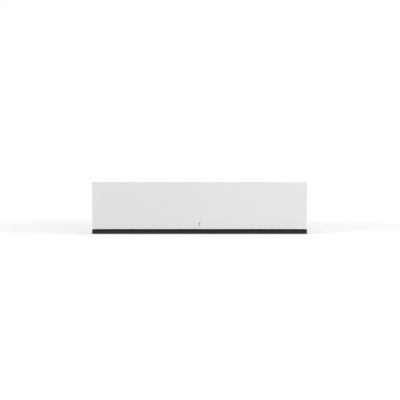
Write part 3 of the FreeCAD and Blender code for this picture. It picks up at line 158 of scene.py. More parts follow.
def make_band_group():
    """1 where a value lies between two limits, 0 outside, with a soft step at each."""
    tree, given, made = new_group(
        "band", {"Value": "Float", "Low": "Float", "High": "Float", "Step": "Float"}, {"Mask": "Float"})
    value, step = given["Value"], given["Step"]
    over = combine(tree, "DIVIDE", combine(tree, "SUBTRACT", value, given["Low"]), step, clamp=True)
    under = combine(tree, "DIVIDE", combine(tree, "SUBTRACT", given["High"], value), step, clamp=True)
    feed(tree, made["Mask"], combine(tree, "MULTIPLY", over, under))
    return tree


TONE = make_tone_group()
GRAIN = make_grain_group()
SPANGLE = make_spangle_group()
SPECKLE = make_speckle_group()
BAND = make_band_group()


class Finish:
    """A material under construction: its shader, and the effects that feed it."""

    def __init__(self, name, **plain):
        self.material = bpy.data.materials.new(name)
        self.material.use_nodes = True
        self.tree = self.material.node_tree
        self.shader = self.tree.nodes["Principled BSDF"]
        self.place = self.tree.nodes.new("ShaderNodeTexCoord").outputs["Object"]
        self.axes = add_node(self.tree, "ShaderNodeSeparateXYZ", {0: self.place}).outputs
        for label, value in plain.items():
            self.feed(label.replace("_", " "), value)

    def effect(self, group, **inputs):
        return add_node(self.tree, "ShaderNodeGroup", inputs, node_tree=group).outputs

    def tone(self, light, dark, scale, roughness, spread):
        out = self.effect(TONE, Vector=self.place, Scale=scale, Light=light, Dark=dark,
                          Roughness=roughness, Spread=spread)
        self.feed("Base Color", out["Color"])
        self.feed("Roughness", out["Roughness"])

    def grain(self, stretch):
        return self.effect(GRAIN, Vector=self.place, Stretch=stretch)["Height"]

    def waves(self, scale, direction, **inputs):
        return add_node(self.tree, "ShaderNodeTexWave", {"Vector": self.place, "Scale": scale, **inputs},
                        bands_direction=direction).outputs["Fac"]

    def band(self, axis, low, high, step=0.0001):
        """1 between two limits along an axis, given as its number or as a value of its own."""
        value = self.axes[axis] if isinstance(axis, int) else axis
        return self.effect(BAND, Value=value, Low=low, High=high, Step=step)["Mask"]

    def times(self, first, second):
        return combine(self.tree, "MULTIPLY", first, second)

    def either(self, first, *others):
        for mask in others:
            first = combine(self.tree, "MAXIMUM", first, mask)
        return first

    def over(self, mask, **values):
        """Puts another colour or number over what feeds an input now, where the mask is 1."""
        for label, value in values.items():
            socket = self.shader.inputs[label.replace("_", " ")]
            below = socket.links[0].from_socket if socket.links else socket.default_value
            if socket.type == "RGBA":
                mixed = blend_colours(self.tree, mask, below, value)
            else:
                mixed = add_node(self.tree, "ShaderNodeMix", {0: mask, 2: below, 3: value}).outputs[0]
            self.feed(socket.name, mixed)

    def feed(self, label, value):
        feed(self.tree, self.shader.inputs[label], value)

    def relief(self, height, strength, distance):
        """Small height, felt as a bump and not as shape."""
        last = self.shader.inputs["Normal"]
        inputs = {"Height": height, "Strength": strength, "Distance": distance}
        if last.links:
            inputs["Normal"] = last.links[0].from_socket
        self.feed("Normal", add_node(self.tree, "ShaderNodeBump", inputs).outputs["Normal"])


def darker(colour, share):
    return tuple(value * share for value in colour)


def sheet_metal(name, colour, roughness, stretch, strength, depth=0.00002, contrast=0.3):
    """Brushed, drawn or plated metal with its grain along one axis."""
    finish = Finish(name, Metallic=1.0)
    finish.tone(colour, darker(colour, 0.95), 5.0, roughness, 0.03)
    lines = finish.grain(stretch)
    finish.over(ramp(finish.tree, lines, 0.35, 0.75, 0.0, contrast), Base_Color=darker(colour, 0.78))
    finish.feed("Roughness", ramp(finish.tree, lines, 0.3, 0.7, roughness - 0.04, roughness + contrast / 4))
    finish.relief(lines, strength, depth)
    return finish


def zinc_sheet(name, colour, roughness):
    """Zinc-dipped sheet with faint spangle."""
    finish = Finish(name, Metallic=1.0)
    cells = finish.effect(SPANGLE, Vector=finish.place, Scale=150.0)
    shade = ramp(finish.tree, cells["Shade"], 0.0, 1.0)
    finish.feed("Base Color", blend_colours(finish.tree, shade, darker(colour, 0.9), colour))
    finish.feed("Roughness", ramp(finish.tree, cells["Shade"], 0.0, 1.0, roughness, roughness + 0.08))
    finish.relief(cells["Height"], 0.1, 0.0001)
    finish.relief(finish.grain((60.0, 900.0, 900.0)), 0.05, 0.00002)
    return finish


def pebbled(name, colour, roughness, scale, strength, metallic=0.0, shade=0.8):
    """Moulded plastic, rubber, enamel, powder coat or a casting."""
    finish = Finish(name, Metallic=metallic)
    finish.tone(colour, darker(colour, shade), 30.0, roughness, 0.08)
    skin = finish.effect(SPECKLE, Vector=finish.place, Scale=scale)["Height"]
    finish.relief(skin, strength, 0.0001)
    return finish


# Finishes

def front_glass_finish():
    """White paint behind clear glass, with a painted highlight along its polished edges and a small printed
    press mark.
    """
    finish = Finish("white_painted_glass", IOR=1.5)
    finish.tone((0.692, 0.694, 0.695), (0.685, 0.687, 0.688), 2.5, 0.05, 0.02)
    tree = finish.tree
    low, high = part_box("front_glass")
    from_middle = combine(tree, "ABSOLUTE", finish.axes[0])
    highlight_width, highlight_step = 0.0016, 0.0004
    # Painted highlight: a lighter band along the left, right, top and bottom edges stands in for light caught
    # on the polished edge.
    edges = finish.either(finish.band(from_middle, high.x - highlight_width, 1.0, highlight_step),
                          finish.band(2, high.z - highlight_width, 1.0, highlight_step),
                          finish.band(2, 0.0, low.z + highlight_width, highlight_step))
    finish.over(edges, Base_Color=(0.90, 0.915, 0.91))
    print_depth, rim_depth, rim_step = 0.0007, 0.0009, 0.0003
    rim = finish.band(1, low.y + rim_depth, 1.0, rim_step)
    finish.over(rim, Base_Color=(0.56, 0.68, 0.64))
    ring_z, radius, line, stem_length = low.z + 0.0155, 0.0017, 0.0007, 0.0054
    from_ring = combine(tree, "ABSOLUTE", combine(tree, "SUBTRACT", finish.axes[2], ring_z))
    squares = [combine(tree, "POWER", distance, 2.0) for distance in (from_middle, from_ring)]
    ring = finish.band(combine(tree, "SQRT", combine(tree, "ADD", *squares)), radius - line, radius + line)
    stem = finish.times(finish.band(0, -line, line),
                        finish.band(2, ring_z - radius - stem_length, ring_z - radius))
    front = finish.band(1, -1.0, low.y + print_depth)
    mark = finish.times(finish.either(ring, stem), front)
    finish.over(mark, Base_Color=(0.06, 0.063, 0.066), Roughness=0.25)
    return finish


def dark_glass_finish():
    """Black print behind clear glass, with a greenish cut edge."""
    finish = Finish("black_printed_glass", IOR=1.5)
    finish.tone((0.008, 0.008, 0.009), (0.005, 0.005, 0.006), 6.0, 0.035, 0.03)
    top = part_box("control_glass")[1].z
    finish.over(finish.band(2, 0.0, top - 0.0008, 0.0002), Base_Color=(0.02, 0.045, 0.038))
    return finish


def clear_glass_finish():
    """Thick toughened glass with a faint green body, wiped haze and ground edges."""
    finish = Finish("clear_toughened_glass", IOR=1.5, Transmission_Weight=1.0)
    finish.tone((0.955, 0.985, 0.972), (0.945, 0.98, 0.966), 5.0, 0.012, 0.025)
    low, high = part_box("lid_glass")
    from_middle = combine(finish.tree, "ABSOLUTE", finish.axes[0])
    skin = 0.0004
    edges = finish.either(finish.band(from_middle, high.x - skin, 1.0), finish.band(1, -1.0, low.y + skin),
                          finish.band(1, high.y - skin, 1.0))
    finish.over(edges, Roughness=0.35, Base_Color=(0.55, 0.80, 0.70))
    return finish


def dark_coat_finish():
    """Matt dark powder coat, with painted shade from the glass above that darkens it towards the strip's top.
    """
    finish = pebbled("dark_powder_coat", (0.034, 0.034, 0.032), 0.5, 1500.0, 0.12)
    finish.feed("Specular IOR Level", 0.25)
    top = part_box("vent_strip")[1].z
    # Painted shade: the strip's face darkens towards its top, where the overhanging glass would shade it.
    shade = ramp(finish.tree, finish.axes[2], 0.0, top + 0.002)
    strip = finish.times(shade, finish.band(2, 0.0, top + 0.0005, 0.0002))
    finish.over(strip, Base_Color=(0.008, 0.008, 0.008))
    return finish


def laminated_finish():
    """Varnished iron sheets, seen on edge as fine lines, and a taped winding on each side of them."""
    finish = Finish("varnished_laminations", Metallic=0.55)
    finish.tone((0.19, 0.185, 0.18), (0.11, 0.105, 0.10), 60.0, 0.42, 0.15)
    finish.relief(finish.waves(320.0, "Y", Distortion=0.3, Detail=1.0), 0.5, 0.0003)
    stack_front, stack_back = 0.1831, 0.2175
    winding = finish.either(finish.band(1, 0.0, stack_front), finish.band(1, stack_back, 1.0))
    finish.over(winding, Base_Color=(0.60, 0.40, 0.08), Metallic=0.0)
    return finish


def valve_finish():
    """A machined brass block, with black moulded coils standing on it."""
    finish = Finish("brass_block_and_coils", Metallic=1.0)
    finish.tone((0.70, 0.53, 0.26), (0.55, 0.40, 0.18), 40.0, 0.28, 0.12)
    finish.relief(finish.grain((900.0, 90.0, 900.0)), 0.15, 0.00003)
    block_top = 0.0495
    finish.over(finish.band(2, block_top, 1.0), Base_Color=(0.022, 0.022, 0.024), Metallic=0.0,
                Roughness=0.42)
    return finish


def cover_tape_finish():
    """Brown coated glass cloth with its fine square weave."""
    finish = Finish("brown_coated_cloth")
    finish.tone((0.42, 0.25, 0.11), (0.30, 0.17, 0.07), 60.0, 0.45, 0.1)
    finish.relief(finish.either(finish.waves(480.0, "X"), finish.waves(480.0, "Y")), 0.4, 0.0001)
    return finish


def circuit_finish():
    """Green solder mask over copper tracks, with bare solder pads."""
    finish = Finish("green_circuit_board", IOR=1.5)
    finish.tone((0.025, 0.15, 0.065), (0.015, 0.10, 0.04), 80.0, 0.22, 0.1)
    tree = finish.tree
    blocks = add_node(tree, "ShaderNodeTexBrick", {
        "Vector": finish.place, "Scale": 60.0, "Mortar Size": 0.05, "Bias": 0.0}, offset=0.37, squash=0.6)
    tracks = combine(tree, "SUBTRACT", 1.0, blocks.outputs["Fac"])
    finish.over(finish.times(tracks, 0.45), Base_Color=(0.06, 0.26, 0.11))
    dots = add_node(tree, "ShaderNodeTexVoronoi", {
        "Vector": finish.place, "Scale": 300.0, "Randomness": 0.35})
    pads = combine(tree, "LESS_THAN", dots.outputs["Distance"], 0.16)
    finish.over(pads, Base_Color=(0.62, 0.62, 0.60), Metallic=1.0)
    finish.relief(tracks, 0.25, 0.00005)
    return finish


def lit_print_finish():
    """Pale print on the touch glass that glows a little."""
    finish = Finish("lit_print", Emission_Color=(0.75, 0.88, 1.0), Emission_Strength=0.35)
    finish.tone((0.75, 0.82, 0.86), (0.68, 0.76, 0.80), 200.0, 0.35, 0.1)
    return finish


LENGTHWISE = (25.0, 1400.0, 1400.0)
FRONT_TO_BACK = (1400.0, 25.0, 1400.0)
UPRIGHT = (1100.0, 1100.0, 60.0)
MILLED = (700.0, 40.0, 700.0)

finishes = {}
for key, finish, node_names in (
        ("white_glass", front_glass_finish(), "front_glass"),
        ("black_glass", dark_glass_finish(), "control_glass"),
        ("clear_glass", clear_glass_finish(), "lid_glass"),
        ("dark_coat", dark_coat_finish(), "vent_strip front_carrier"),
        ("zinc", zinc_sheet("zinc_dipped_sheet", (0.66, 0.68, 0.695), 0.30),
         "casing_base casing_sides casing_back casing_rails drawer_floor drawer_sides drawer_back "
         "drawer_front_wall"),
        ("runner_zinc", sheet_metal("bright_zinc_plate", (0.70, 0.72, 0.745), 0.2, FRONT_TO_BACK, 0.08),
         "runner_outer runner_middle runner_inner outer_ball_cages inner_ball_cages"),
        ("polished", sheet_metal("polished_steel", (0.78, 0.78, 0.79), 0.12, UPRIGHT, 0.03, contrast=0.08),
         "striker hinge_pins lift_pistons casing_rivets drawer_rivets pump_rotor heating_strip "
         "vacuum_plunger vent_plunger suction_port"),
        ("spring", sheet_metal("oiled_spring_steel", (0.50, 0.49, 0.48), 0.24, UPRIGHT, 0.06),
         "lid_springs"),
        ("brushed", sheet_metal("brushed_stainless", (0.68, 0.675, 0.665), 0.24, LENGTHWISE, 0.22, 0.00003),
         "deck_frame rear_cover lid_hinge_rail"),
        ("drawn", sheet_metal("satin_drawn_stainless", (0.72, 0.715, 0.705), 0.24, UPRIGHT, 0.03,
                              contrast=0.1), "chamber_tub"),
        ("machined", sheet_metal("machined_aluminium", (0.70, 0.705, 0.715), 0.25, MILLED, 0.05,
                                 contrast=0.15), "hinge_blocks lift_cylinders counter_bar_holder"),
        ("anodised", sheet_metal("hard_anodised_bar", (0.40, 0.405, 0.415), 0.36, LENGTHWISE, 0.15),
         "sealing_bar"),
        ("foam", pebbled("black_foam", (0.03, 0.03, 0.03), 0.85, 1600.0, 0.6), "glass_tape"),
        ("grey_silicone", pebbled("grey_silicone", (0.40, 0.41, 0.42), 0.38, 700.0, 0.06, shade=0.9),
         "chamber_seal"),
        ("red_silicone", pebbled("red_brown_silicone", (0.50, 0.085, 0.055), 0.42, 700.0, 0.06),
         "counter_bar"),
        ("rubber", pebbled("moulded_rubber", (0.026, 0.026, 0.027), 0.58, 900.0, 0.18), "rubber_mounts"),
        ("bumper", pebbled("pale_bumper_rubber", (0.60, 0.60, 0.57), 0.35, 800.0, 0.05, shade=0.92),
         "front_buffers"),
        ("hose", pebbled("smooth_hose_rubber", (0.030, 0.030, 0.032), 0.40, 500.0, 0.08), "vacuum_hoses"),
        ("sheath", pebbled("matt_cable_sheath", (0.032, 0.032, 0.034), 0.5, 1200.0, 0.12), "coiled_lead"),
        ("black_plastic", pebbled("black_moulded_plastic", (0.026, 0.026, 0.028), 0.40, 1400.0, 0.16),
         "control_housing latch_housing fan_housing fan_impeller lead_clamp mains_gland"),
        ("grey_plastic", pebbled("grey_moulded_plastic", (0.30, 0.31, 0.32), 0.42, 1400.0, 0.14,
                                 shade=0.92), "terminal_box"),
        ("pale_plastic", pebbled("pale_connector_plastic", (0.72, 0.70, 0.62), 0.40, 1400.0, 0.1,
                                 shade=0.94), ""),
        ("blue_sleeve", pebbled("blue_sleeve", (0.02, 0.05, 0.16), 0.28, 800.0, 0.04), ""),
        ("slide_pad", pebbled("grey_sliding_pad", (0.17, 0.17, 0.17), 0.6, 900.0, 0.3), "glides"),
        ("casting", pebbled("fine_cast_aluminium", (0.56, 0.57, 0.585), 0.42, 1100.0, 0.45, 1.0, 0.88),
         "pump_body"),
        ("enamel", pebbled("black_motor_enamel", (0.022, 0.022, 0.025), 0.32, 1200.0, 0.18),
         "pump_motor exhaust_filter"),
        ("valve", valve_finish(), "valve_block"),
        ("laminated", laminated_finish(), "transformer"),
        ("circuit", circuit_finish(), "power_board control_board"),
        ("cover_tape", cover_tape_finish(), "heating_cover"),
        ("lit_print", lit_print_finish(), "")):
    finishes[key] = finish.material
    for node_name in node_names.split():
        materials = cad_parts[node_name].data.materials
        materials.clear()
        materials.append(finish.material)


# Building pieces, with places and sizes in millimetres

FLOOR_TOP, BOARD_TOP = 15.3, 22.9
BOARD_POSTS = (-249.2, -71.2), (-196.0, 71.2)


def mm(*values):
    return Vector(values) * MM


def corners_of(low, high):
    return [(a, b) for a in (low[0], high[0]) for b in (low[1], high[1])]


def circle(count, points=None):
    """Points of a circle of radius 1 as (across, up) pairs; more points than its count go round again."""
    turns = [2 * math.pi * i / count for i in range(points or count)]
    return [(math.cos(turn), math.sin(turn)) for turn in turns]


def across(axis):
    """Two directions across an axis."""
    side = (axis.orthogonal() if axis.z else axis.cross(Z_AXIS)).normalized()
    return side, axis.cross(side)


class Shape:
    """Collects solids in one mesh."""

    def __init__(self):
        self.mesh = bmesh.new()

    def block(self, low, high, bevel=0.0):
        """A block between two corners with rounded edges."""
        low, high = mm(*low), mm(*high)
        made = bmesh.ops.create_cube(self.mesh, size=1.0)["verts"]
        for vert in made:
            vert.co = Vector([low[i] if vert.co[i] < 0 else high[i] for i in range(3)])
        if bevel:
            edges = list({edge for vert in made for edge in vert.link_edges})
            bmesh.ops.bevel(self.mesh, geom=edges, offset=bevel * MM, segments=2, profile=0.5, affect="EDGES")
        return self

    def loops(self, rings, ends=True):
        """Skins closed rings of points in order; a ring of one point closes to a tip."""
        rows = [[self.mesh.verts.new(point) for point in ring] for ring in rings]
        for first, second in zip(rows, rows[1:]):
            count = max(len(first), len(second))
            for i in range(count):
                j = (i + 1) % count
                corners = [first[i % len(first)], first[j % len(first)],
                           second[j % len(second)], second[i % len(second)]]
                face = list(dict.fromkeys(corners))
                if len(face) > 2:
                    self.mesh.faces.new(face)
        if ends:
            for row, turn in ((rows[0], -1), (rows[-1], 1)):
                if len(row) > 2:
                    self.mesh.faces.new(row[::turn])
        return self

    def turned(self, profile, origin, sides, axis=Z_AXIS):
        """A lathe shape from (radius, distance along the axis) pairs."""
        side, up = across(axis)
        rings = []
        for radius, distance in profile:
            centre = mm(*origin) + axis * (distance * MM)
            reach = radius * MM
            rings.append([centre + side * (reach * a) + up * (reach * b) for a, b in circle(sides)]
                         if radius else [centre])
        return self.loops(rings)

    def swept(self, profile, corners, rounding, steps):
        """A profile of (distance out, height) pairs carried round a rounded rectangle.

        corners are (low x, low y, high x, high y) of the line where the distance out is 0.
        """
        left, front, right, back = (value + shift for value, shift in zip(
            corners, (rounding, rounding, -rounding, -rounding)))
        turns, columns = circle(4 * steps, 4 * steps + 1), []
        for number, (x, y) in enumerate(((right, back), (left, back), (left, front), (right, front))):
            for a, b in turns[number * steps:(number + 1) * steps + 1]:
                columns.append([mm(x + a * (rounding + out), y + b * (rounding + out), height)
                                for out, height in profile])
        return self.loops(columns + columns[:1], ends=False)

    def pushed(self, outline, origin, axis, length, side):
        """A flat outline of (distance to its side, distance up) pairs drawn out along an axis."""
        up = axis.cross(side)
        flat = [mm(*origin) + side * (a * MM) + up * (b * MM) for a, b in outline]
        return self.loops([flat, [point + axis * (length * MM) for point in flat]])

    def to_mesh(self, name):
        bmesh.ops.remove_doubles(self.mesh, verts=self.mesh.verts, dist=1e-7)
        bmesh.ops.recalc_face_normals(self.mesh, faces=self.mesh.faces)
        mesh = bpy.data.meshes.new(name)
        self.mesh.to_mesh(mesh)
        self.mesh.free()
        return mesh

    def done(self, name, finish, slot, body="drawer", **ties):
        """Turns the shape into a piece that rides on a body."""
        add_piece(self.to_mesh(name), name, body, finish, slot, **ties)


def place_object(name, data):
    made = bpy.data.objects.new(name, data)
    bpy.context.scene.collection.objects.link(made)
    return made


def add_piece(mesh, name, body, finish, slot, replaces=(), angle=35, blend=None):
    """Makes a piece of a mesh: smooth up to an angle, with its finish, on its body, or with its place baked
    in and on no body when a blend is given.
    """
    piece = place_object(name, mesh)
    mesh.materials.clear()
    mesh.materials.append(finishes[finish])
    mesh.polygons.foreach_set("use_smooth", [True] * len(mesh.polygons))
    mesh.set_sharp_from_angle(angle=math.radians(angle))
    if blend:
        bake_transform(piece)
    else:
        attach(piece, body)
    if replaces:
        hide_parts(*replaces)


# Trees that repeat or follow something

def geometry_tree(name, inputs):
    inputs = {"Geometry": "Geometry", **inputs, "Finish": "Material"}
    return new_group(name, inputs, {"Geometry": "Geometry"}, "GeometryNodeTree")


def end_tree(tree, given, made, geometry):
    """Every tree ends in real geometry with its finish set."""
    real = add_node(tree, "GeometryNodeRealizeInstances", {"Geometry": geometry}).outputs[0]
    node = add_node(tree, "GeometryNodeSetMaterial", {"Geometry": real, "Material": given["Finish"]})
    feed(tree, made["Geometry"], node.outputs[0])
    return tree


def make_tube_tree():
    """A round tube along the edges of a mesh."""
    tree, given, made = geometry_tree("tube_along_line", {"Radius": "Float", "Sides": "Int"})
    line = add_node(tree, "GeometryNodeMeshToCurve", {"Mesh": given["Geometry"]})
    ring = add_node(tree, "GeometryNodeCurvePrimitiveCircle", {
        "Resolution": given["Sides"], "Radius": given["Radius"]})
    pipe = add_node(tree, "GeometryNodeCurveToMesh", {
        "Curve": line.outputs[0], "Profile Curve": ring.outputs[0], "Fill Caps": True})
    return end_tree(tree, given, made, pipe.outputs[0])


def make_scatter_tree():
    """A copy of one object on every point, turned to the point's facing."""
    tree, given, made = geometry_tree("copies_on_points", {"Copy": "Object"})
    copy = add_node(tree, "GeometryNodeObjectInfo", {"Object": given["Copy"]})
    facing = add_node(tree, "GeometryNodeInputNamedAttribute", {"Name": "facing"}, data_type="FLOAT_VECTOR")
    turn = add_node(tree, "FunctionNodeAlignRotationToVector", {"Vector": facing.outputs[0]}, axis="Z")
    copies = add_node(tree, "GeometryNodeInstanceOnPoints", {
        "Points": given["Geometry"], "Instance": copy.outputs["Geometry"], "Rotation": turn.outputs[0]})
    return end_tree(tree, given, made, copies.outputs[0])


def make_row_tree():
    """A row of equal blocks."""
    tree, given, made = geometry_tree("row_of_blocks", {
        "Count": "Int", "Start": "Vector", "Step": "Vector", "Size": "Vector"})
    line = add_node(tree, "GeometryNodeMeshLine", {
        "Count": given["Count"], "Start Location": given["Start"], "Offset": given["Step"]})
    block = add_node(tree, "GeometryNodeMeshCube", {"Size": given["Size"]})
    copies = add_node(tree, "GeometryNodeInstanceOnPoints", {
        "Points": line.outputs[0], "Instance": block.outputs[0]})
    return end_tree(tree, given, made, copies.outputs[0])


TUBE = make_tube_tree()
SCATTER = make_scatter_tree()
ROW = make_row_tree()


def as_mesh(seed):
    """The plain mesh that an object comes to, in place of the object."""
    bpy.context.view_layer.update()
    result = bpy.data.meshes.new_from_object(seed.evaluated_get(bpy.context.evaluated_depsgraph_get()))
    bpy.data.objects.remove(seed)
    return result


def grown(mesh, tree, finish, **inputs):
    """The plain mesh that a geometry tree makes from a mesh."""
    seed = place_object("seed", mesh)
    modifier = seed.modifiers.new("tree", "NODES")
    modifier.node_group = tree
    sockets = {item.name: item.identifier for item in tree.interface.items_tree if item.in_out == "INPUT"}
    for label, value in {"Finish": finishes[finish], **inputs}.items():
        modifier[sockets[label]] = value
    return as_mesh(seed)


def line_mesh(points):
    mesh = bpy.data.meshes.new("line")
    mesh.from_pydata([mm(*point) for point in points], [(i, i + 1) for i in range(len(points) - 1)], [])
    return mesh


def route_mesh(points):
    """The edges of a smooth NURBS line with these points as its control points."""
    curve = bpy.data.curves.new("route", "CURVE")
    curve.dimensions = "3D"
    curve.resolution_u = 8
    spline = curve.splines.new("NURBS")
    spline.points.add(len(points) - 1)
    for spot, point in zip(spline.points, points):
        spot.co = (*mm(*point), 1.0)
    spline.order_u = 3
    spline.use_endpoint_u = True
    return as_mesh(place_object("route", curve))


def tube(name, line, radius, finish, sides, slot, flat=1.0, **ties):
    """A cable, hose, wire or spring of the drawer along a line; flat makes its section oval along Y."""
    mesh = grown(line, TUBE, finish, Radius=radius * MM, Sides=sides)
    if flat != 1.0:
        for first in range(0, len(mesh.vertices), sides):
            ring = mesh.vertices[first:first + sides]
            middle = sum(vert.co.y for vert in ring) / len(ring)
            for vert in ring:
                vert.co.y = middle + (vert.co.y - middle) * flat
    add_piece(mesh, name, "drawer", finish, slot, angle=60, **ties)


def wire(name, points, radius):
    """A steel wire of the drawer from point to point."""
    tube(name, line_mesh(points), radius, "polished", 8, "bright_steel")


def row(name, finish, slot, count, start, step, size):
    """Equal blocks on the drawer, from the first one's middle on."""
    mesh = grown(line_mesh([start]), ROW, finish,
                 Count=count, Start=mm(*start), Step=mm(*step), Size=mm(*size))
    add_piece(mesh, name, "drawer", finish, slot)


def screw_head(radius, height, recess):
    """A domed screw head with a six-lobed recess, standing on z = 0."""
    turns, lobes, lobe_depth = circle(24), circle(24 // 6, 24), 0.16
    rings = [[mm(radius * share * a, radius * share * b, height * level) for a, b in turns]
             for share, level in ((1.0, 0.0), (0.97, 0.45), (0.78, 0.85), (0.58, 1.0))]
    lobed = [(recess * (1 + lobe_depth * lobe) * a, recess * (1 + lobe_depth * lobe) * b)
             for (a, b), (lobe, _) in zip(turns, lobes)]
    rings += [[mm(*spot, height * level) for spot in lobed] for level in (1.0, 0.35)]
    return place_object("screw_head", Shape().loops(rings).to_mesh("screw_head"))


# Soft and wound parts

def make_front_buffers():
    """Four push-in bumpers on the casing's flanges."""
    bumper = [(0, 0), (2.6, 0), (3.2, 0.4), (3.2, 0.9), (3.0, 1.2), (2.0, 1.2), (2.0, 2.4), (4.6, 2.4),
              (5.0, 2.6), (5.0, 2.8), (4.3, 3.04), (2.6, 3.1), (0, 3.1)]
    shape = Shape()
    for x, z in corners_of((-286.5, 49.6), (286.5, 94.6)):
        shape.turned(bumper, (x, -253.6, z), 28, -Y_AXIS)
    shape.done("front_bumpers", "bumper", "clear_rubber", "casing", replaces=["front_buffers"])


def make_mounts():
    """Rubber pads with a waist under the chamber and the pump."""
    chamber_pad = [(0, 0), (9.4, 0), (10, 0.5), (10, 1.0), (9.5, 1.75), (10, 2.5), (10, 3.0), (9.4, 3.5),
                   (0, 3.5)]
    pump_pad = [(0, 0), (7.5, 0), (8, 0.5), (8, 1.8), (6.8, 2.6), (6.4, 3.75), (6.8, 4.9), (8, 5.7), (8, 7.0),
                (7.5, 7.5), (0, 7.5)]
    shape = Shape()
    for pad, low, high in ((chamber_pad, (-145, -140), (145, 85)), (pump_pad, (-22, 148.15), (42, 204.15))):
        for place in corners_of(low, high):
            shape.turned(pad, (*place, FLOOR_TOP), 32)
    shape.done("mount_pads", "rubber", "black_rubber", replaces=["rubber_mounts"])


def make_seals():
    """The lip seal round the chamber and the silicone bar under the lid."""
    lip = [(7.3, 110.8), (14.7, 110.8), (15, 111.1), (15, 111.9), (14.6, 112.4), (13.3, 112.7),
           (12.75, 113.4), (12.7, 114.5), (12.2, 115.2), (11.1, 115.5), (10.0, 115.2), (9.5, 114.5),
           (9.45, 113.4), (8.9, 112.7), (7.5, 112.4), (7, 111.9), (7, 111.1)]
    shape = Shape().swept(lip, (-175, -170, 175, 115), 30, 14)
    shape.done("chamber_lip_seal", "grey_silicone", "grey_silicone", replaces=["chamber_seal"], angle=60)
    face = [(-153, 114.3), (-153, 105.0), (-152.5, 104.2), (-151.6, 103.9), (-150.3, 103.9), (-150.0, 104.25),
            (-149.4, 104.25), (-149.1, 103.9), (-146.4, 103.9), (-146.3, 104.25), (-145.7, 104.25),
            (-145.6, 103.9), (-142.9, 103.9), (-142.6, 104.25), (-142.0, 104.25), (-141.7, 103.9),
            (-140.4, 103.9), (-139.5, 104.2), (-139, 105.0), (-139, 114.3)]
    shape = Shape().pushed(face, (-160, 0, 0), X_AXIS, 320, Y_AXIS)
    shape.done("counter_strip", "red_silicone", "red_silicone", "lid", replaces=["counter_bar"], angle=40)


def make_foam_tape():
    """Four lengths of foam tape between the glass and its carrier."""
    low, high = (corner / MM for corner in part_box("glass_tape"))
    width, gap, rounding = 14, 0.3, 0.3
    shape = Shape()
    for z in (low.z, high.z - width):
        shape.block((low.x, low.y, z), (high.x, high.y, z + width), rounding)
    for x in (low.x, high.x - width):
        shape.block((x, low.y, low.z + width + gap), (x + width, high.y, high.z - width - gap), rounding)
    shape.done("foam_tape", "foam", "black_foam_tape", replaces=["glass_tape"])


def winding(reach, steps, count):
    """(across, up) points of a coil, set wide so that the smooth line has its radius."""
    wide = reach / math.cos(math.pi / steps)
    return [(wide * a, wide * b) for a, b in circle(steps, count)]


def make_lead():
    """The coiled lead: a straight tail, even turns round a line along Y, and a tail to its box.

    The real lead stretches as the drawer slides; its cable here is an oval one.
    """
    x, z, reach, pitch, turns, steps, first_turn = 241.6, 25.8, 7.0, 7.2, 26, 14, 42.6
    points = [(x, 25.6, z - reach), (x, 30.0, z - reach), (x, 33.6, z - reach),
              (x + 3.2, 37.0, z - reach + 0.6)]
    for i, (a, b) in enumerate(winding(reach, steps, turns * steps + 1)):
        points.append((x + a, first_turn + pitch * i / steps, z + b))
    points += [(x + 5.6, 232.6, z + 5.6), (x + 1.2, 236.4, z + reach), (x, 239.6, z + reach),
               (x, 246.8, z + reach)]
    tube("coiled_drawer_lead", route_mesh(points), 3, "sheath", 14, "black_cable", flat=0.62,
         replaces=["coiled_lead"], blend=("casing", "drawer", mm(x, 238.8, z), mm(x, 33.6, z)))


def corner_route(points, reach):
    """A smooth line whose runs stay straight up to its bends."""
    points = [Vector(point) for point in points]
    full = points[:1]
    for before, corner, after in zip(points, points[1:], points[2:]):
        full += [corner + (before - corner).normalized() * reach, corner,
                 corner + (after - corner).normalized() * reach]
    return route_mesh(full + points[-1:])


def make_hoses():
    """Two vacuum hoses with wire clamps where they are pushed over their stubs."""
    chamber = [(84, 131, 85), (84, 149, 85), (220.5, 149, 85), (220.5, 149, 32.3), (220.5, 90, 32.3)]
    pump = [(68, 148.15, 43.8), (197.5, 148.15, 43.8), (197.5, 90, 43.8)]
    bend = 13
    tube("chamber_hose", corner_route(chamber, bend), 5, "hose", 24, "black_hose", replaces=["vacuum_hoses"])
    tube("pump_hose", corner_route(pump, bend), 5, "hose", 24, "black_hose")
    ends = [((84, 134.5, 85), Y_AXIS), ((220.5, 94.5, 32.3), Y_AXIS), ((197.5, 94.5, 43.8), Y_AXIS),
            ((72, 148.15, 43.8), X_AXIS)]
    reach, half_width, ear, steps = 5.5, 1.25, 3.2, 28
    for number, (place, axis) in enumerate(ends, 1):
        side, up = across(axis)
        middle = Vector(place)
        points = [middle + side * (reach * a) + up * (reach * b) + axis * ((i / steps - 1) * half_width)
                  for i, (a, b) in enumerate(circle(26, 2 * steps + 1))]
        tails = [point + (point - middle).normalized() * ear for point in (points[0], points[-1])]
        wire(f"hose_clamp_{number}", tails[:1] + points + tails[1:], 0.5)


def make_lid_springs():
    """Two torsion springs: a leg down on the drawer, the winding round the hinge pin, a leg along the lid."""
    reach, pitch, turns, leg, steps = 6.2, 2.7, 10.25, 9.6, 16
    y, z, first_turn, last_turn = 158.0, 118.8, 93.7, 121.4
    for name, side in (("right_lid_spring", 1), ("left_lid_spring", -1)):
        points = [(side * first_turn, y + reach, z - leg), (side * first_turn, y + reach, z - leg * 0.35)]
        for i, (a, b) in enumerate(winding(reach, steps, int(turns * steps) + 1)):
            points.append((side * (first_turn + pitch * i / steps), y + a, z + b))
        last = side * (first_turn + pitch * turns)
        points += [(last, y - leg * 0.35, z + reach), (last, y - leg, z + reach)]
        tube(name, route_mesh(points), 0.9, "spring", 10, "spring_steel",
             blend=("drawer", "lid", mm(side * first_turn, y, z), mm(side * last_turn, y, z)),
             replaces=["lid_springs"] if side == 1 else ())


# Hard details

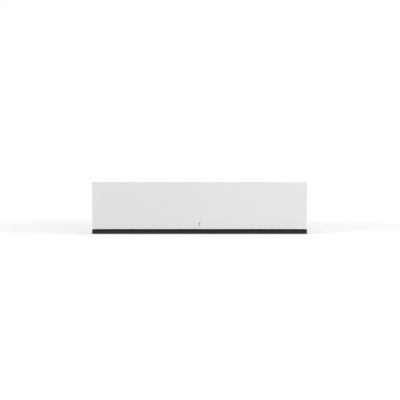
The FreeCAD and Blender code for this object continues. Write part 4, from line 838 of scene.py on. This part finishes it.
def make_screws():
    """Screw heads with six-lobed recesses, one mesh for each body and size."""
    large, small, flat = (3.2, 1.6, 1.45), (2.1, 1.2, 1.0), (3.4, 0.7, 1.5)
    up, back, front, right = Z_AXIS, Y_AXIS, -Y_AXIS, X_AXIS
    box_corners = corners_of((205.0, 20.3), (257.0, 64.3))
    cover = [((x, y, 110.0), up) for x in (-232, -116, 0, 116, 232) for y in (177.5, 223.5)]
    pump = [((58.0, y, z), right) for y, z in corners_of((139.5, 28.0), (212.8, 93.6))]
    stack = [((x, y, z), way) for x, z in corners_of((165.5, 21.8), (222.5, 68.8))
             for y, way in ((183.3, front), (217.3, back))]
    fan = [((x, 210.3, z), front) for x, z in corners_of((-235.6, 21.7), (-164.4, 92.9))]
    feet = [((x, 158, 111.3), up) for x in (-159, -141, 141, 159)]
    board = [((x, y, BOARD_TOP), up) for x, y in corners_of(*BOARD_POSTS)]
    block = [((x, 55.0, 49.3), up) for x in (192.7, 225.3)]
    box = [((x, 246.8, z), front) for x, z in box_corners]
    outside = [((x, 268.0, z), back) for x, z in box_corners]
    latch = [((x, 242.1, z), front) for x, z in corners_of((-17.5, 8.2), (17.5, 40.2))]
    latch += [((x, 268.0, 24.2), back) for x in (-17.5, 17.5)]
    rail = [((x, 133.0, 131.8), up) for x in (-190, -95, 0, 95, 190)]
    for name, size, places, body in (
            ("cover_screws", large, cover + pump + stack, "drawer"),
            ("small_screws", small, fan + feet + board + block, "drawer"),
            ("casing_screws", large, outside, "casing"),
            ("box_and_latch_screws", small, box + latch, "casing"),
            ("hinge_rail_screws", flat, rail, "lid")):
        points = bpy.data.meshes.new("places")
        points.from_pydata([mm(*place) for place, _ in places], [], [])
        facing = points.attributes.new("facing", "FLOAT_VECTOR", "POINT")
        facing.data.foreach_set("vector", [value for _, way in places for value in way])
        head = screw_head(*size)
        mesh = grown(points, SCATTER, "polished", Copy=head)
        add_piece(mesh, name, body, "polished", "bright_steel")
        bpy.data.objects.remove(head)


def make_bar_ends():
    """End clamps of the heating strip, with the strip folded down to them."""
    clamps, strips = Shape(), Shape()
    bolt = [(0, 0), (2.4, 0), (2.4, 0.9), (1.9, 1.4), (0, 1.4)]
    for side in (-1, 1):
        near, far = sorted((side * 160.4, side * 163.6))
        clamps.block((near, -152.5, 84.5), (far, -139.5, 95.0), 0.5)
        for y in (-149.6, -142.4):
            clamps.turned(bolt, (side * 163.5, y, 89.7), 24, side * X_AXIS)
        near, far = sorted((side * 159.9, side * 160.4))
        strips.block((near, -148, 85.0), (far, -144, 97.15), 0.15)
    clamps.done("bar_end_clamps", "machined", "cast_aluminium", "seal_bar")
    strips.done("folded_strip_ends", "polished", "bright_steel", "seal_bar")


def digit_bars(x, y, lit):
    """The lit bars of a plain seven-bar digit as (low x, low y, high x, high y)."""
    width, height, line = 6.0, 11.0, 0.9
    left, right, top, middle, bottom = x, x + width, y + height, y + height / 2, y
    half = line / 2
    spans = {
        "a": (left + half, top - line, right - half, top),
        "g": (left + half, middle - half, right - half, middle + half),
        "d": (left + half, bottom, right - half, bottom + line),
        "b": (right - line, middle + half, right, top - half),
        "e": (left, bottom + half, left + line, middle - half),
        "c": (right - line, bottom + half, right, middle - half)}
    return [spans[key] for key in lit]


def make_touch_print():
    """Plain keys, a level display and digits printed on the black glass."""
    low, high, row_y = 129.8, 129.84, -235.0
    whole, opened = circle(48), circle(48, 57)[16:]
    shape = Shape()

    def arc(x, y, reach, height, turns):
        return [mm(x + reach * a, row_y + y + reach * b, height) for a, b in turns]

    def ring(x, radius, line, y=0.0):
        inner, outer = radius - line / 2, radius + line / 2
        path = [(inner, low), (outer, low), (outer, high), (inner, high), (inner, low)]
        shape.loops([arc(x, y, reach, height, whole) for reach, height in path], ends=False)

    bars = [(-90.25, 0.8, -89.75, 3.6), (-45.0, 1.0, -39.0, 1.6), (-45.0, -1.6, -39.0, -1.0),
            (39.6, -0.25, 44.4, 0.25), (63.6, -0.25, 68.4, 0.25), (65.75, 0.25, 66.25, 2.4),
            (65.75, -2.4, 66.25, -0.25), (88.9, -1.1, 91.1, 1.1)]
    bars += [(-68.6 + 1.8 * i, -2.4, -67.6 + 1.8 * i, -0.9 + 1.6 * i) for i in range(3)]
    bars += [(-26 + 4.2 * i, -5.5, -23 + 4.2 * i, -4.3) for i in range(6)]
    bars += digit_bars(5.0, -5.0, "abged") + digit_bars(15.0, -5.0, "abgcd")
    for x0, y0, x1, y1 in bars:
        shape.block((x0, row_y + y0, low), (x1, row_y + y1, high))
    for x in (-90, -66, -42, 42, 66, 90):
        ring(x, 7.0, 0.35)
    ring(90, 3.0, 0.5)
    inner, outer = 2.55, 3.05
    shape.loops([arc(-90, 0, outer, height, opened) + arc(-90, 0, inner, height, opened[::-1])
                 for height in (low, high)])
    for x in (-22.5, -14.5, -6.5):
        ring(x, 2.0, 0.4, 2.2)
    shape.done("touch_key_print", "lit_print", "black_glass", angle=20)


def make_lid_rests():
    """Two clear bumpers on the deck that the lid's front corners come down on."""
    bumper = [(0, 0), (5.6, 0), (5.6, 0.6), (4.8, 1.0), (4.2, 5.4), (3.6, 6.4), (2.2, 6.7), (0, 6.75)]
    shape = Shape()
    for x in (-206, 206):
        shape.turned(bumper, (x, -191.0, 108.8), 32)
    shape.done("lid_rest_bumpers", "bumper", "clear_rubber")


def make_power_board():
    """The power board with its capacitors, relays, heat sink and plugs."""
    post = [(0, 0), (3, 0), (3, 5.7), (2.4, 6.05), (0, 6.05)]
    sleeve = [(0, 0), (9.0, 0), (9.3, 0.4), (9.3, 2.2), (8.9, 2.6), (8.9, 3.0), (9.3, 3.4), (9.3, 27.0),
              (8.9, 27.7), (8.0, 28.0), (7.6, 27.6), (0, 27.6)]
    can_top = [(0, 0), (7.5, 0), (7.5, 0.3), (7.0, 0.45), (0, 0.45)]
    score = [(-0.2, 0), (0.2, 0), (0.2, 0.08), (-0.2, 0.08)]
    can_x = -236.6
    board, posts, cans, tops, relays, sink, plugs = (Shape() for _ in range(7))
    board.block((-252.6, -75, 21.3), (-192.6, 75, BOARD_TOP), 0.2)
    for x, y in corners_of(*BOARD_POSTS):
        posts.turned(post, (x, y, FLOOR_TOP), 6)
    for y in (-47, -19, 9):
        cans.turned(sleeve, (can_x, y, BOARD_TOP), 36)
        tops.turned(can_top, (can_x, y, 50.4), 32)
        for a, b in circle(6, 3):
            side = Vector((a, b, 0))
            tops.pushed(score, Vector((can_x, y, 50.83)) - side * 6, side, 12, Z_AXIS.cross(side))
    relays.block((-246.6, 30.2, BOARD_TOP), (-222.0, 63, 36.9), 0.8)
    for y in (34, 50):
        relays.block((-219.0, y, BOARD_TOP), (-200.0, y + 12, 33.0), 0.8)
    sink.block((-212.6, -47, BOARD_TOP), (-208.6, -7.8, 50.9), 0.3)
    for y0, y1 in ((-69, -54), (64, 72)):
        plugs.block((-214, y0, BOARD_TOP), (-203, y1, 33.5), 0.6)
    board.done("power_board_sheet", "circuit", "circuit_board", replaces=["power_board"])
    posts.done("board_posts", "polished", "bright_steel")
    cans.done("capacitor_sleeves", "blue_sleeve", "black_plastic")
    tops.done("capacitor_tops", "machined", "cast_aluminium")
    relays.done("board_relays", "black_plastic", "black_plastic")
    sink.done("heat_sink_web", "machined", "cast_aluminium")
    for name, x in (("heat_sink_fins_left", -217.4), ("heat_sink_fins_right", -203.8)):
        row(name, "machined", "cast_aluminium", 9, (x, -46.2, 36.9), (0, 4.7, 0), (9.7, 1.2, 28.0))
    plugs.done("board_plugs", "pale_plastic", "grey_plastic")
    row("board_plug_pins", "polished", "bright_steel", 4, (-208.5, -67, 34.0), (0, 3.7, 0), (0.9, 0.9, 3.0))


def make_fan_guard():
    """A wire guard on the cooling fan's inlet."""
    x, y, z = -200.0, 209.3, 57.3
    for number, radius in enumerate((11.0, 19.0, 27.0, 35.0), 1):
        points = [(x + radius * a, y, z + radius * b) for a, b in circle(36, 37)]
        wire(f"fan_guard_ring_{number}", points, 0.7)
    centre = Vector((x, y - 0.4, z))
    for number, side in enumerate((1, -1), 1):
        reach = Vector((side, 0, 1)).normalized() * 49.5
        wire(f"fan_guard_spoke_{number}", [centre - reach, centre + reach], 0.8)


def make_motor_details():
    """The motor's wire box, and the spade terminals of the two valve coils."""
    gland = [(0, 0), (4.6, 0), (4.6, 3), (3.6, 3.4), (3.6, 6), (0, 6)]
    box = Shape().block((-118, 160, 96.0), (-72, 192, 105.8), 1.5)
    box.block((-119, 159, 102.8), (-71, 193, 106.4), 0.8).turned(gland, (-118.2, 176, 99.2), 6, -X_AXIS)
    box.done("motor_wire_box", "black_plastic", "black_plastic")
    blades = Shape()
    for y in (33, 41, 69, 77):
        blades.block((223.0, y - 2.4, 68.0), (230.5, y + 2.4, 68.8), 0.15)
    blades.done("coil_terminals", "polished", "bright_steel")


for make in (make_front_buffers, make_mounts, make_seals, make_foam_tape, make_lead, make_hoses,
             make_lid_springs, make_screws, make_bar_ends, make_touch_print, make_lid_rests,
             make_power_board, make_fan_guard, make_motor_details):
    make()


# Camera, light and floor

def look_from_the_front():
    """The photograph's view: 3 m in front of the glass, tilted one degree down."""
    image_size, pixels_to_image = 400, 1087
    data = bpy.data.cameras.new("front_camera")
    data.sensor_width = 36.0
    data.lens = data.sensor_width * pixels_to_image / image_size
    data.clip_start = 0.01
    camera = place_object("front_camera", data)
    camera.location = (0.0012, -3.28, 0.148)
    camera.rotation_euler = (math.radians(90 - 1.024), 0, 0)
    bpy.context.scene.camera = camera


def soft_lamp(name, place, target, size, power):
    data = bpy.data.lights.new(name, "AREA")
    data.shape, data.size, data.energy = "DISK", size, power
    lamp = place_object(name, data)
    lamp.location = place
    lamp.rotation_euler = (Vector(target) - Vector(place)).to_track_quat("-Z", "Y").to_euler()


def seen_directly(tree):
    """1 for rays from the camera, a mirror or glass, 0 for rays that only light a surface."""
    path = add_node(tree, "ShaderNodeLightPath").outputs
    share = combine(tree, "MAXIMUM", path["Is Camera Ray"], path["Is Glossy Ray"])
    return combine(tree, "MAXIMUM", share, path["Is Transmission Ray"])


def set_world():
    """A white sky for the eye, which lights the object a little less."""
    sky_light = 0.61
    world = bpy.data.worlds.new("pale_studio")
    world.use_nodes = True
    bpy.context.scene.world = world
    tree = world.node_tree
    background = tree.nodes["Background"].inputs
    feed(tree, background["Color"], (1.0, 1.0, 1.0))
    feed(tree, background["Strength"],
         combine(tree, "MULTIPLY_ADD", seen_directly(tree), 1.0 - sky_light, sky_light))


def lay_floor():
    """A wide pale floor that shows the object's shadow and looks white elsewhere."""
    near, far, near_lift, far_lift = 0.4, 2.0, 0.08, 0.45
    shape = bmesh.new()
    bmesh.ops.create_grid(shape, x_segments=1, y_segments=1, size=30.0)
    mesh = bpy.data.meshes.new("floor")
    shape.to_mesh(mesh)
    finish = Finish("pale_floor", Specular_IOR_Level=0.0, Emission_Color=(1.0, 1.0, 1.0))
    finish.tone((0.92, 0.92, 0.92), (0.915, 0.915, 0.915), 1.5, 0.9, 0.0)
    away = add_node(finish.tree, "ShaderNodeVectorMath", {0: finish.place}, operation="LENGTH")
    lift = ramp(finish.tree, away.outputs["Value"], near, far, near_lift, far_lift)
    finish.feed("Emission Strength", finish.times(seen_directly(finish.tree), lift))
    mesh.materials.append(finish.material)
    floor = place_object("floor", mesh)


look_from_the_front()
set_world()
lay_floor()
soft_lamp("overhead_lamp", (-0.5, -1.0, 2.6), (0, 0, 0.1), 2.4, 18.0)
soft_lamp("front_lamp", (-0.2, -2.6, 1.1), (0, -0.28, 0.08), 1.2, 4.5)
soft_lamp("right_lamp", (0.95, -1.05, 0.55), (0.30, -0.28, 0.08), 0.6, 3.6)
soft_lamp("left_lamp", (-1.1, -1.3, 0.6), (-0.25, -0.28, 0.08), 0.9, 3.0)
soft_lamp("back_lamp", (0.6, 1.9, 1.8), (0, 0, 0.1), 1.8, 9.0)
bpy.context.scene.view_settings.view_transform = "Standard"
